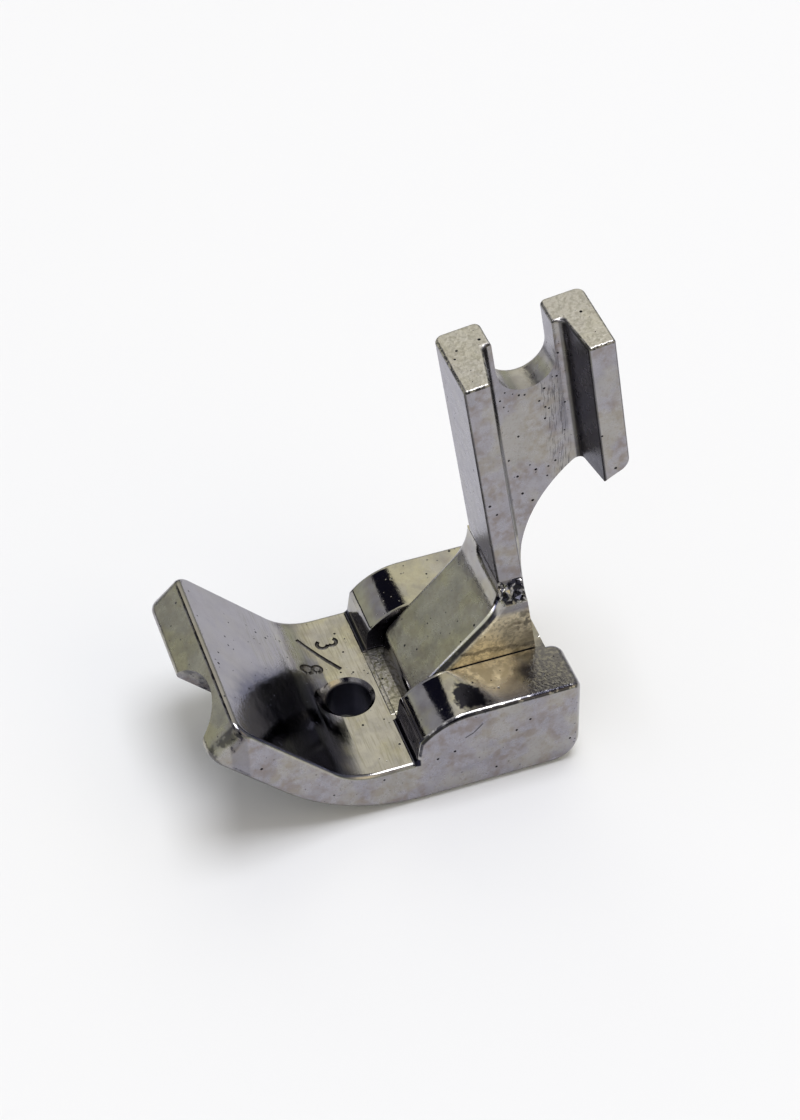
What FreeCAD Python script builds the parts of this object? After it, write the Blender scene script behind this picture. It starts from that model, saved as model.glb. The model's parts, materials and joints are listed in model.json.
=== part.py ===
"""Piping presser foot: one nickel-plated casting with a grooved sole and a channel post.

Frame, in millimetres: Z is up from the flat of the sole, X runs across the foot and Y runs
from the toe (minus) to the heel (plus). It is drawn with the needle coming down at Y = 0, and
the whole is then set so that the middle of its box lies over the origin.
"""
import FreeCAD
import Part
import Sketcher
import math
import os

NODE = "presser_foot"

SIZES = [
    ("sole_width", 13.6),
    ("heel_margin", 0.45),
    ("heel_corner_radius", 1.8),
    ("underside_start", 2.7),
    ("underside_radius", 11.8),
    ("toe_angle", 47.3),
    ("toe_reach", 10.37),
    ("toe_thickness", 2.72),
    ("toe_corner_radius", 1.2),
    ("valley_height", 3.36),
    ("valley_radius", 4.0),
    ("shoulder_height", 6.48),
    ("shoulder_front", 2.1),
    ("shoulder_wall_lean", 9.0),
    ("shoulder_brow_height", 4.95),
    ("shoulder_radius", 4.3),
    ("shoulder_root_radius", 0.3),
    ("slot_width", 5.9),
    ("heel_recess_depth", 1.0),
    ("heel_recess_radius", 0.8),
    ("pad_rise", 0.14),
    ("pad_setback", 0.1),
    ("nose_front", 2.95),
    ("nose_lean", 8.0),
    ("nose_radius", 1.2),
    ("nose_corner_radius", 1.3),
    ("band_angle", 46.0),
    ("band_reach", 4.0),
    ("band_height", 5.65),
    ("band_root_radius", 3.6),
    ("band_edge_radius", 0.55),
    ("rib_width", 6.14),
    ("ledge_gap", 0.37),
    ("ledge_drop", 1.5),
    ("post_lean", 7.3),
    ("post_front", 9.5),
    ("post_width", 5.14),
    ("post_shift", -0.13),
    ("post_depth", 8.89),
    ("post_height", 21.12),
    ("post_back_radius", 0.55),
    ("channel_radius", 0.6),
    ("notch_edge_radius", 0.4),
    ("front_flange", 1.55),
    ("rear_flange", 1.62),
    ("web_thickness", 2.05),
    ("front_draft", 0.65),
    ("rear_draft", 0.34),
    ("notch_width", 3.56),
    ("notch_depth", 4.18),
    ("notch_reach", 4.5),
    ("relief_radius", 9.03),
    ("relief_reach", 11.32),
    ("relief_height", 2.69),
    ("flange_foot_radius", 0.9),
    ("groove_radius", 3.0),
    ("groove_depth", 2.07),
    ("groove_offset", 2.45),
    ("hole_diameter", 2.7),
    ("hole_rim_diameter", 3.25),
    ("hole_offset", 0.25),
    ("edge_radius", 0.2),
    ("side_radius", 0.35),
    ("base_radius", 0.55),
    # How far one solid starts inside another, and how far a cut runs past the surface
    ("overlap", 1.0),
    # The rib's back stays this far inside the front flange
    ("rib_inset", 0.1),
    # The post's foot below its frame, and how much its rear leans in there
    ("foot_depth", 0.8),
    ("foot_taper", 0.35),
    # How far the hole's cone runs above the valley
    ("cone_rise", 0.5),
]

ORIGIN = -1

doc = FreeCAD.newDocument("piping_foot")
sheet = doc.addObject("Spreadsheet::Sheet", "sizes")
for row, (alias, value) in enumerate(SIZES, start=1):
    sheet.set(f"A{row}", alias)
    sheet.set(f"B{row}", str(value))
    sheet.setAlias(f"B{row}", alias)
doc.recompute()


def size(alias):
    """The value of one cell of the sheet."""
    return float(sheet.get(alias))


LEAN = math.radians(size("post_lean"))


def foot_height():
    """Where the post's own frame starts on the post's front face.

    From there the frame's level meets the level of the shoulders at the back of the front flange.
    """
    return size("shoulder_height") - size("front_flange") * math.sin(LEAN)


def heel_reach():
    """The heel stands a margin and the depth of its recess behind the post's foot."""
    foot = size("post_front") + size("front_flange")
    return foot + size("heel_margin") + size("heel_recess_depth")


def underside_height(y):
    """The height of the sole's underside at a place ahead of the heel."""
    radius = size("underside_radius")
    tilt = math.radians(size("toe_angle"))
    reach = max(0, size("underside_start") - y)
    bend = radius * math.sin(tilt)
    if reach < bend:
        return radius - math.sqrt(radius ** 2 - reach ** 2)
    return radius * (1 - math.cos(tilt)) + (reach - bend) * math.tan(tilt)


def ledge_height():
    """The top of the rib at the post: a little below the end of the arc that leads up to it."""
    band = math.tan(math.radians(size("band_angle")))
    lean = math.tan(LEAN)
    turn = math.radians(90 - size("band_angle")) + LEAN
    reach = size("post_front") + foot_height() * lean - size("band_reach")
    corner = (size("band_height") + reach * band) / (1 + lean * band)
    return corner + size("band_root_radius") * math.tan(turn / 2) * math.cos(LEAN) - size("ledge_gap")


# These places as formulas for the sketches
FORMULAS = {
    "ledge_height": (
        "(([band_height] + ([post_front] + [foot_height] * tan([post_lean]) - [band_reach])"
        " * tan([band_angle])) / (1 + tan([post_lean]) * tan([band_angle]))"
        " + [band_root_radius] * tan((90 - [band_angle] + [post_lean]) / 2) * cos([post_lean])"
        " - [ledge_gap])"
    ),
    "heel_reach": "([post_front] + [front_flange] + [heel_margin] + [heel_recess_depth])",
    "foot_height": "([shoulder_height] - [front_flange] * sin([post_lean]))",
    "tip_height": (
        "([underside_radius] * (1 - cos([toe_angle]))"
        " + ([underside_start] + [toe_reach] - [underside_radius] * sin([toe_angle])) * tan([toe_angle]))"
    ),
}


def tie(holder, prop, formula):
    """Bind a property to the sheet; names in the formula are places or aliases of its cells."""
    words = formula
    for place, meaning in FORMULAS.items():
        words = words.replace(f"[{place}]", meaning)
    for alias, _ in SIZES:
        words = words.replace(f"[{alias}]", f"sizes.{alias}")
    holder.setExpression(prop, words)


body = doc.addObject("PartDesign::Body", NODE)
body.Label = NODE


def origin_plane(role):
    """One of the body's own origin planes."""
    return next(item for item in body.Origin.OriginFeatures if item.Role == role)


def new_sketch(name, role):
    """An empty sketch on one of the origin planes."""
    sketch = body.newObject("Sketcher::SketchObject", name)
    sketch.AttachmentSupport = [(origin_plane(role), "")]
    sketch.MapMode = "FlatFace"
    return sketch


def post_frame(sketch):
    """Turn a sketch on the YZ plane into the post's own leaning frame."""
    base = FreeCAD.Vector(size("post_front"), foot_height(), 0)
    turn = FreeCAD.Rotation(FreeCAD.Vector(0, 0, 1), size("post_lean"))
    sketch.AttachmentOffset = FreeCAD.Placement(base, turn)
    tie(sketch, "AttachmentOffset.Base.x", "[post_front]")
    tie(sketch, "AttachmentOffset.Base.y", "[foot_height]")
    tie(sketch, "AttachmentOffset.Rotation.Angle", "[post_lean]")


class Outline:
    """A closed outline: straight runs and arcs, joined end to end and tied to the sheet."""

    def __init__(self, name, role):
        self.sketch = new_sketch(name, role)

    def line(self, start, end):
        segment = Part.LineSegment(FreeCAD.Vector(*start, 0), FreeCAD.Vector(*end, 0))
        return self.sketch.addGeometry(segment, False)

    def arc(self, centre, radius, first, last):
        """An arc that runs counter-clockwise between two angles in degrees."""
        circle = Part.Circle(FreeCAD.Vector(*centre, 0), FreeCAD.Vector(0, 0, 1), radius)
        piece = Part.ArcOfCircle(circle, math.radians(first), math.radians(last))
        return self.sketch.addGeometry(piece, False)

    def circle(self, centre, radius):
        ring = Part.Circle(FreeCAD.Vector(*centre, 0), FreeCAD.Vector(0, 0, 1), radius)
        return self.sketch.addGeometry(ring, False)

    def marker(self, place):
        """A construction point, such as a corner that a rounding takes away."""
        return self.sketch.addGeometry(Part.Point(FreeCAD.Vector(*place, 0)), True)

    def guide(self, start, end):
        """A construction line."""
        segment = Part.LineSegment(FreeCAD.Vector(*start, 0), FreeCAD.Vector(*end, 0))
        return self.sketch.addGeometry(segment, True)

    def rule(self, *words):
        return self.sketch.addConstraint(Sketcher.Constraint(*words))

    def sized(self, formula, *words):
        """A constraint with a value, bound to the sheet."""
        index = self.rule(*words)
        tie(self.sketch, f"Constraints[{index}]", formula)

    def meet(self, first, first_end, second, second_end):
        self.rule("Coincident", first, first_end, second, second_end)

    def smooth(self, first, first_end, second, second_end):
        self.rule("Tangent", first, first_end, second, second_end)

    def across(self, piece, end, formula):
        """The distance of a point from the origin along the sketch's first axis."""
        place = self.place(piece, end).x
        pair = (ORIGIN, 1, piece, end) if place >= 0 else (piece, end, ORIGIN, 1)
        self.sized(formula, "DistanceX", *pair, abs(place))

    def up(self, piece, end, formula):
        """The distance of a point from the origin along the sketch's second axis."""
        place = self.place(piece, end).y
        pair = (ORIGIN, 1, piece, end) if place >= 0 else (piece, end, ORIGIN, 1)
        self.sized(formula, "DistanceY", *pair, abs(place))

    def place(self, piece, end):
        return self.sketch.getPoint(piece, end)

    def radius(self, piece, formula):
        value = self.sketch.Geometry[piece].Radius
        self.sized(formula, "Radius", piece, value)

    def polygon(self, corners):
        """Straight runs through the corners, joined and closed; returns the run numbers."""
        runs = [self.line(*pair) for pair in zip(corners, corners[1:] + corners[:1])]
        for first, second in zip(runs, runs[1:] + runs[:1]):
            self.meet(first, 2, second, 1)
        return runs

    def check(self):
        doc.recompute()
        if not self.sketch.FullyConstrained:
            print("open freedom in", self.sketch.Name)
        return self.sketch


def pad(name, outline, length, both_sides=True, reverse=False):
    feature = body.newObject("PartDesign::Pad", name)
    feature.Profile = outline.check()
    tie(feature, "Length", length)
    if both_sides:
        feature.SideType = "Symmetric"
    feature.Reversed = reverse
    doc.recompute()
    return feature


def pocket(name, outline, both_sides=True, reverse=False, length=None):
    """A cut as deep as the length, or else right through. It has to take something away."""
    before = body.Shape.Volume
    feature = body.newObject("PartDesign::Pocket", name)
    feature.Profile = outline.check()
    if length:
        tie(feature, "Length", length)
    else:
        feature.Type = "ThroughAll"
    if both_sides:
        feature.SideType = "Symmetric"
    feature.Reversed = reverse
    doc.recompute()
    if body.Shape.Volume >= before:
        raise RuntimeError(f"{name} cuts nothing")
    return feature


def corner_outline(name, side, width, radius, tilt, place, formulas):
    """What the rounding of a front corner takes away, seen square to it.

    The sketch stands at a place on the middle of the front edge. Its X runs along that edge and
    its Y back into the piece, down by the tilt.
    """
    out = Outline(name, "XY_Plane")
    turn = FreeCAD.Rotation(FreeCAD.Vector(-1, 0, 0), size(tilt))
    out.sketch.AttachmentOffset = FreeCAD.Placement(FreeCAD.Vector(0, *place), turn)
    tie(out.sketch, "AttachmentOffset.Base.y", formulas[0])
    tie(out.sketch, "AttachmentOffset.Base.z", formulas[1])
    tie(out.sketch, "AttachmentOffset.Rotation.Angle", f"[{tilt}]")
    doc.recompute()
    reach = size(width) / 2
    inset = size(radius)
    inner = side * (reach - inset)
    edge = side * reach
    outer = side * (reach + size("overlap"))
    beyond = -size("overlap")
    first, front_end, side_end = (270, 1, 2) if side > 0 else (180, 2, 1)
    bend = out.arc((inner, inset), inset, first, first + 90)
    corners = [(inner, 0), (inner, beyond), (outer, beyond), (outer, inset), (edge, inset)]
    down, across, back, shut = [out.line(*pair) for pair in zip(corners, corners[1:])]
    for one, other in ((down, across), (across, back), (back, shut)):
        out.meet(one, 2, other, 1)
    out.meet(bend, front_end, down, 1)
    out.meet(bend, side_end, shut, 2)
    for run in (down, back):
        out.rule("Vertical", run)
    for run in (across, shut):
        out.rule("Horizontal", run)
    out.radius(bend, f"[{radius}]")
    out.across(bend, 3, f"[{width}] / 2 - [{radius}]")
    out.up(bend, 3, f"[{radius}]")
    out.across(down, 2, f"[{width}] / 2 - [{radius}]")
    out.up(across, 1, "[overlap]")
    out.across(across, 2, f"[{width}] / 2 + [overlap]")
    out.up(shut, 1, f"[{radius}]")
    return out


def edges_where(test):
    """The names of the body's edges whose middle point, as x, y, z, passes the test."""
    names = []
    for number, edge in enumerate(body.Shape.Edges, start=1):
        middle = edge.valueAt((edge.FirstParameter + edge.LastParameter) / 2)
        if test(middle.x, middle.y, middle.z, edge):
            names.append(f"Edge{number}")
    return names


def rounded(name, radius, test):
    """Round every edge that passes the test."""
    base = body.Tip
    names = edges_where(test)
    if not names:
        raise RuntimeError(f"{name} finds no edge")
    feature = body.newObject("PartDesign::Fillet", name)
    feature.Base = (base, names)
    tie(feature, "Radius", radius)
    doc.recompute()
    return feature


def near(first, second, slack=0.02):
    """Whether two places are the same, give or take the slack, in millimetres."""
    return abs(first - second) < slack


# How far past a limit the middle of an edge may lie and still count
MARGIN = 0.1


def in_post(y, z):
    """A point of the YZ plane in the post's own frame: its reach behind the front, its height."""
    back = y - size("post_front")
    rise = z - foot_height()
    return (
        back * math.cos(LEAN) + rise * math.sin(LEAN),
        rise * math.cos(LEAN) - back * math.sin(LEAN),
    )


# The post: a leaning channel section whose rear edge is relieved by a large arc
def post_outline():
    out = Outline("post_outline", "YZ_Plane")
    post_frame(out.sketch)
    out.sketch.AttachmentOffset.Base.z = size("post_shift")
    tie(out.sketch, "AttachmentOffset.Base.z", "[post_shift]")
    doc.recompute()
    reach = size("relief_reach")
    rise = size("relief_height")
    radius = size("relief_radius")
    depth = size("post_depth")
    root = reach - radius
    corner = rise + math.sqrt(radius ** 2 - (reach - depth) ** 2)
    angle = math.degrees(math.atan2(corner - rise, depth - reach))
    front = out.line((0, -size("foot_depth")), (0, size("post_height")))
    top = out.line((0, size("post_height")), (depth, size("post_height")))
    rear = out.line((depth, size("post_height")), (depth, corner))
    relief = out.arc((reach, rise), radius, angle, 180.0)
    low = -size("foot_depth")
    foot = out.line((root, rise), (root - size("foot_taper"), low))
    bottom = out.line((root - size("foot_taper"), low), (0, low))
    out.meet(front, 2, top, 1)
    out.meet(top, 2, rear, 1)
    out.meet(rear, 2, relief, 1)
    out.meet(relief, 2, foot, 1)
    out.meet(foot, 2, bottom, 1)
    out.meet(bottom, 2, front, 1)
    out.rule("PointOnObject", front, 1, -2)
    out.rule("Vertical", front)
    out.rule("Vertical", rear)
    out.rule("Horizontal", top)
    out.rule("Horizontal", bottom)
    out.radius(relief, "[relief_radius]")
    out.up(front, 2, "[post_height]")
    out.up(front, 1, "[foot_depth]")
    out.across(rear, 1, "[post_depth]")
    out.across(relief, 3, "[relief_reach]")
    out.up(relief, 3, "[relief_height]")
    out.up(foot, 1, "[relief_height]")
    out.across(foot, 2, "[relief_reach] - [relief_radius] - [foot_taper]")
    return out


pad("post", post_outline(), "[post_width]")


def flange_foot(x, y, z, edge):
    reach, height = in_post(y, z)
    below_top = height < size("post_height") - MARGIN
    return near(reach, size("post_depth")) and near(x, size("post_shift")) and below_top


def post_back(x, y, z, edge):
    """The long upright edges on the post's far side."""
    reach, height = in_post(y, z)
    upright = near(reach, 0) or near(reach, size("post_depth"))
    return near(x, size("post_shift") - size("post_width") / 2) and upright


rounded("flange_foot", "[flange_foot_radius]", flange_foot)
rounded("post_back", "[post_back_radius]", post_back)


def channel_outline():
    """The channel between the flanges, drawn across the post at its foot."""
    out = Outline("channel_outline", "XY_Plane")
    base = FreeCAD.Vector(0, size("post_front"), foot_height())
    turn = FreeCAD.Rotation(FreeCAD.Vector(1, 0, 0), size("post_lean"))
    out.sketch.AttachmentOffset = FreeCAD.Placement(base, turn)
    tie(out.sketch, "AttachmentOffset.Base.y", "[post_front]")
    tie(out.sketch, "AttachmentOffset.Base.z", "[foot_height]")
    tie(out.sketch, "AttachmentOffset.Rotation.Angle", "[post_lean]")
    tip = size("post_shift") + size("post_width") / 2
    web = size("post_shift") - size("post_width") / 2 + size("web_thickness")
    front = size("front_flange")
    rear = size("post_depth") - size("rear_flange")
    corners = [
        (tip, front),
        (tip, rear),
        (web, rear - size("rear_draft")),
        (web, front + size("front_draft")),
    ]
    mouth, rear_wall, floor, front_wall = out.polygon(corners)
    out.rule("Vertical", mouth)
    out.rule("Vertical", floor)
    out.across(mouth, 1, "[post_width] / 2 + [post_shift]")
    out.up(mouth, 1, "[front_flange]")
    out.up(mouth, 2, "[post_depth] - [rear_flange]")
    out.across(floor, 1, "[post_width] / 2 - [post_shift] - [web_thickness]")
    out.up(floor, 1, "[post_depth] - [rear_flange] - [rear_draft]")
    out.up(floor, 2, "[front_flange] + [front_draft]")
    return out


pocket("channel", channel_outline(), both_sides=False, reverse=True)


def notch_outline():
    """The screw notch: straight walls on a half-round bottom, open at the top of the post."""
    out = Outline("notch_outline", "YZ_Plane")
    post_frame(out.sketch)
    doc.recompute()
    half = size("notch_width") / 2
    middle = size("notch_reach")
    centre = size("post_height") - size("notch_depth") + half
    high = size("post_height") + size("overlap")
    bottom = out.arc((middle, centre), half, 180.0, 360.0)
    right = out.line((middle + half, centre), (middle + half, high))
    top = out.line((middle + half, high), (middle - half, high))
    left = out.line((middle - half, high), (middle - half, centre))
    out.smooth(bottom, 2, right, 1)
    out.meet(right, 2, top, 1)
    out.meet(top, 2, left, 1)
    out.smooth(left, 2, bottom, 1)
    out.rule("Vertical", right)
    out.rule("Horizontal", top)
    out.rule("Vertical", left)
    out.radius(bottom, "[notch_width] / 2")
    out.across(bottom, 3, "[notch_reach]")
    out.up(bottom, 3, "[post_height] - [notch_depth] + [notch_width] / 2")
    out.up(top, 1, "[post_height] + [overlap]")
    return out


pocket("notch", notch_outline())


def channel_corner(x, y, z, edge):
    """The two inside corners between the web and the flanges."""
    reach, height = in_post(y, z)
    front = near(reach, size("front_flange") + size("front_draft"))
    rear = near(reach, size("post_depth") - size("rear_flange") - size("rear_draft"))
    return (front or rear) and near(x, size("post_shift") - size("post_width") / 2 + size("web_thickness"))


def notch_back(x, y, z, edge):
    """The notch's edge on the post's far side."""
    reach, height = in_post(y, z)
    at_notch = abs(reach - size("notch_reach")) < size("notch_width") / 2 + MARGIN
    in_depth = size("post_height") > height + MARGIN > size("post_height") - size("notch_depth")
    return at_notch and in_depth and near(x, size("post_shift") - size("post_width") / 2)


def flange_edge(x, y, z, edge):
    """The edges round the open faces of the two flanges, and those of the post's top."""
    reach, height = in_post(y, z)
    mouth = near(x, size("post_shift") + size("post_width") / 2)
    return near(height, size("post_height")) or (mouth and height > 0)


rounded("notch_back", "[notch_edge_radius]", notch_back)
rounded("flange_edges", "[edge_radius]", flange_edge)
rounded("channel_corners", "[channel_radius]", channel_corner)


# The rib: a low pad in the slot, then the nose, the sloping band and the root of the post
def rib_outline():
    out = Outline("rib_outline", "YZ_Plane")
    slope = math.radians(size("band_angle"))
    pad_top = size("valley_height") + size("pad_rise")
    pad_front = size("shoulder_front") + size("pad_setback")
    inside = pad_top - size("overlap")
    crown = ledge_height()
    rear = size("post_front") + (size("front_flange") - size("rib_inset")) / math.cos(LEAN)

    def front_at(height):
        return size("post_front") - (height - foot_height()) * math.tan(LEAN)

    def rear_at(height):
        return rear - (height - foot_height()) * math.tan(LEAN)

    brow_radius = size("nose_radius")
    root_radius = size("band_root_radius")
    nose_lean = math.radians(size("nose_lean"))
    mark = FreeCAD.Vector(size("band_reach"), size("band_height"), 0)
    band_normal = FreeCAD.Vector(-math.sin(slope), math.cos(slope), 0)

    def touching(start, along, distance):
        """The point of a line that lies a distance off the band."""
        return start + along * ((distance - (start - mark).dot(band_normal)) / along.dot(band_normal))

    nose_along = FreeCAD.Vector(math.sin(nose_lean), math.cos(nose_lean), 0)
    nose_inward = FreeCAD.Vector(math.cos(nose_lean), -math.sin(nose_lean), 0)
    nose_foot = FreeCAD.Vector(size("nose_front"), pad_top, 0)
    brow_centre = touching(nose_foot + nose_inward * brow_radius, nose_along, -brow_radius)
    face_along = FreeCAD.Vector(-math.sin(LEAN), math.cos(LEAN), 0)
    face_outward = FreeCAD.Vector(-math.cos(LEAN), -math.sin(LEAN), 0)
    face_foot = FreeCAD.Vector(size("post_front"), foot_height(), 0)
    root_centre = touching(face_foot + face_outward * root_radius, face_along, root_radius)
    brow_end = brow_centre - nose_inward * brow_radius
    band_start = brow_centre + band_normal * brow_radius
    band_end = root_centre - band_normal * root_radius
    root_rise = math.degrees(math.asin((crown - root_centre.y) / root_radius))
    middle_end = heel_reach() - size("heel_recess_depth")
    shelf = size("shoulder_height")
    pad_start = out.line((pad_front, inside), (pad_front, pad_top))
    pad_run = out.line((pad_front, pad_top), (size("nose_front"), pad_top))
    nose = out.line((size("nose_front"), pad_top), (brow_end.x, brow_end.y))
    brow = out.arc(
        (brow_centre.x, brow_centre.y), brow_radius, 90 + size("band_angle"), 180 - size("nose_lean")
    )
    band = out.line((band_start.x, band_start.y), (band_end.x, band_end.y))
    root = out.arc((root_centre.x, root_centre.y), root_radius, size("band_angle") - 90, root_rise)
    top = out.line((front_at(crown), crown), (rear_at(crown), crown))
    back = out.line((rear_at(crown), crown), (rear_at(shelf), shelf))
    step = out.line((rear_at(shelf), shelf), (middle_end, shelf))
    end = out.line((middle_end, shelf), (middle_end, inside))
    close = out.line((middle_end, inside), (pad_front, inside))
    out.meet(pad_start, 2, pad_run, 1)
    out.meet(pad_run, 2, nose, 1)
    out.smooth(nose, 2, brow, 2)
    out.smooth(brow, 1, band, 1)
    out.smooth(band, 2, root, 1)
    out.meet(root, 2, top, 1)
    for first, second in ((top, back), (back, step), (step, end), (end, close)):
        out.meet(first, 2, second, 1)
    out.meet(close, 2, pad_start, 1)
    for run in (pad_start, end):
        out.rule("Vertical", run)
    for run in (pad_run, top, step, close):
        out.rule("Horizontal", run)
    face = out.guide((front_at(foot_height()), foot_height()), (front_at(crown), crown))
    out.across(face, 1, "[post_front]")
    out.up(face, 1, "[foot_height]")
    out.up(face, 2, "[ledge_height]")
    out.sized("(90 + [post_lean]) * 1 deg", "Angle", face, math.pi / 2 + LEAN)
    out.rule("Tangent", root, face)
    band_mark = out.marker((size("band_reach"), size("band_height")))
    out.across(band_mark, 1, "[band_reach]")
    out.up(band_mark, 1, "[band_height]")
    out.rule("PointOnObject", band_mark, 1, band)
    out.sized("[band_angle] * 1 deg", "Angle", band, slope)
    out.sized("(90 - [nose_lean]) * 1 deg", "Angle", nose, math.radians(90 - size("nose_lean")))
    out.rule("Parallel", face, back)
    inset = size("front_flange") - size("rib_inset")
    out.sized("[front_flange] - [rib_inset]", "Distance", back, 1, face, inset)
    out.radius(brow, "[nose_radius]")
    out.radius(root, "[band_root_radius]")
    out.across(pad_start, 1, "[shoulder_front] + [pad_setback]")
    out.across(nose, 1, "[nose_front]")
    out.up(pad_run, 1, "[valley_height] + [pad_rise]")
    out.up(close, 1, "[valley_height] + [pad_rise] - [overlap]")
    out.up(top, 1, "[ledge_height]")
    out.up(step, 1, "[shoulder_height]")
    out.across(end, 1, "[heel_reach] - [heel_recess_depth]")
    return out


def band_side(x, y, z, edge):
    """The edges along the rib's sides that show, from the nose up to the post."""
    in_front = y < size("post_front") - MARGIN
    above_pad = z > size("valley_height") + size("pad_rise") + MARGIN
    return near(abs(x), size("rib_width") / 2) and in_front and above_pad


pad("rib", rib_outline(), "[rib_width]")
rounded("band_edges", "[band_edge_radius]", band_side)

# The nose's two corners are rounded square to its front, from the pad up past the band
for side, name in ((1, "nose_corner_near"), (-1, "nose_corner_far")):
    corner = corner_outline(
        name, side, "rib_width", "nose_corner_radius", "nose_lean",
        (size("nose_front"), size("valley_height") + size("pad_rise")),
        ("[nose_front]", "[valley_height] + [pad_rise]"),
    )
    pocket(f"{name}_cut", corner, both_sides=False, reverse=True, length="[band_height]")


# The rib's sides step in to the post down a steep slope on each side
def ledge_outline(side):
    name = "ledge_near" if side > 0 else "ledge_far"
    out = Outline(name, "XZ_Plane")
    post_edge = side * size("post_width") / 2 + size("post_shift")
    rib_edge = side * size("rib_width") / 2
    outside = side * (size("rib_width") / 2 + size("overlap"))
    ledge = ledge_height()
    low = ledge - size("ledge_drop")
    high = ledge + size("overlap")
    corners = [(rib_edge, low), (post_edge, ledge), (outside, high), (outside, low)]
    slope, top, wall, floor = out.polygon(corners)
    out.rule("Vertical", wall)
    out.rule("Horizontal", floor)
    half = "[post_width] / 2 + [post_shift]" if side > 0 else "[post_width] / 2 - [post_shift]"
    out.across(slope, 1, "[rib_width] / 2")
    out.up(slope, 1, "[ledge_height] - [ledge_drop]")
    out.across(slope, 2, half)
    out.up(slope, 2, "[ledge_height]")
    out.up(top, 2, "[ledge_height] + [overlap]")
    out.across(top, 2, "[rib_width] / 2 + [overlap]")
    return out


for side in (1, -1):
    outline = ledge_outline(side)
    pocket(outline.sketch.Name + "_cut", outline)


# The sole: a plate of even thickness that turns up into the toe
def sole_outline():
    out = Outline("sole_outline", "YZ_Plane")
    angle = size("toe_angle")
    tilt = math.radians(angle)
    start = size("underside_start")
    below = size("underside_radius")
    heel = heel_reach()
    corner = size("heel_corner_radius")
    floor = size("valley_height")
    along = FreeCAD.Vector(-math.cos(tilt), math.sin(tilt), 0)
    upward = FreeCAD.Vector(math.sin(tilt), math.cos(tilt), 0)
    under = FreeCAD.Vector(start - below * math.sin(tilt), below * (1 - math.cos(tilt)), 0)
    tip = under + along * ((under.x + size("toe_reach")) / math.cos(tilt))
    ridge = tip + upward * size("toe_thickness")
    valley_end = ridge - along * ((ridge.y - floor) / math.sin(tilt))
    valley_run = size("valley_radius") * math.tan(tilt / 2)

    def flat(vector):
        return vector.x, vector.y

    bottom = out.line((heel - corner, 0), (start, 0))
    curve = out.arc((start, below), below, 270 - angle, 270)
    underside = out.line(flat(under), flat(tip))
    face = out.line(flat(tip), flat(ridge))
    slope = out.line(flat(ridge), flat(valley_end + along * valley_run))
    valley_start = valley_end.x + valley_run
    valley = out.arc((valley_start, floor + size("valley_radius")), size("valley_radius"), 270 - angle, 270)
    deck = out.line((valley_start, floor), (heel, floor))
    rear = out.line((heel, floor), (heel, corner))
    rear_arc = out.arc((heel - corner, corner), corner, 270, 360)
    out.smooth(bottom, 2, curve, 2)
    out.smooth(curve, 1, underside, 1)
    out.meet(underside, 2, face, 1)
    out.meet(face, 2, slope, 1)
    out.smooth(slope, 2, valley, 1)
    out.smooth(valley, 2, deck, 1)
    out.meet(deck, 2, rear, 1)
    out.smooth(rear, 2, rear_arc, 2)
    out.smooth(rear_arc, 1, bottom, 1)
    out.rule("PointOnObject", bottom, 1, -1)
    out.rule("Horizontal", bottom)
    out.rule("Horizontal", deck)
    out.rule("Vertical", rear)
    out.rule("Perpendicular", underside, face)
    out.rule("Parallel", underside, slope)
    out.sized("(180 - [toe_angle]) * 1 deg", "Angle", underside, math.pi - tilt)
    out.radius(curve, "[underside_radius]")
    out.radius(valley, "[valley_radius]")
    out.radius(rear_arc, "[heel_corner_radius]")
    out.across(bottom, 2, "[underside_start]")
    out.across(deck, 2, "[heel_reach]")
    out.up(deck, 2, "[valley_height]")
    out.sized("[toe_thickness]", "Distance", slope, 1, underside, size("toe_thickness"))
    out.across(face, 1, "[toe_reach]")
    return out


pad("sole", sole_outline(), "[sole_width]")


# A shoulder on each side of the slot: a steep wall, then a long round brow
def shoulder_outline():
    out = Outline("shoulder_outline", "YZ_Plane")
    out.sketch.AttachmentOffset = FreeCAD.Placement(
        FreeCAD.Vector(0, 0, size("slot_width") / 2), FreeCAD.Rotation()
    )
    tie(out.sketch, "AttachmentOffset.Base.z", "[slot_width] / 2")
    doc.recompute()
    lean = math.radians(size("shoulder_wall_lean"))
    front = size("shoulder_front")
    floor = size("valley_height")
    inside = floor - size("overlap")
    brow_height = size("shoulder_brow_height")
    brow_reach = front + (brow_height - floor) * math.tan(lean)
    radius = size("shoulder_radius")
    top = size("shoulder_height")
    drop = top - brow_height
    run = math.sqrt(radius ** 2 - (radius - drop) ** 2)
    first = math.degrees(math.atan2(radius - drop, run))
    heel = heel_reach()
    low_front = front - size("overlap") * math.tan(lean)
    wall = out.line((low_front, inside), (brow_reach, brow_height))
    brow = out.arc((brow_reach + run, top - radius), radius, 90, 180 - first)
    crown = out.line((brow_reach + run, top), (heel, top))
    rear = out.line((heel, top), (heel, inside))
    close = out.line((heel, inside), (low_front, inside))
    out.meet(wall, 2, brow, 2)
    out.smooth(brow, 1, crown, 1)
    out.meet(crown, 2, rear, 1)
    out.meet(rear, 2, close, 1)
    out.meet(close, 2, wall, 1)
    out.rule("Horizontal", crown)
    out.rule("Vertical", rear)
    out.rule("Horizontal", close)
    out.sized("(90 - [shoulder_wall_lean]) * 1 deg", "Angle", wall, math.pi / 2 - lean)
    root_mark = out.marker((front, floor))
    out.rule("PointOnObject", root_mark, 1, wall)
    out.across(root_mark, 1, "[shoulder_front]")
    out.up(root_mark, 1, "[valley_height]")
    out.up(wall, 2, "[shoulder_brow_height]")
    out.up(crown, 1, "[shoulder_height]")
    out.up(close, 1, "[valley_height] - [overlap]")
    out.across(crown, 2, "[heel_reach]")
    out.radius(brow, "[shoulder_radius]")
    return out


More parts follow.
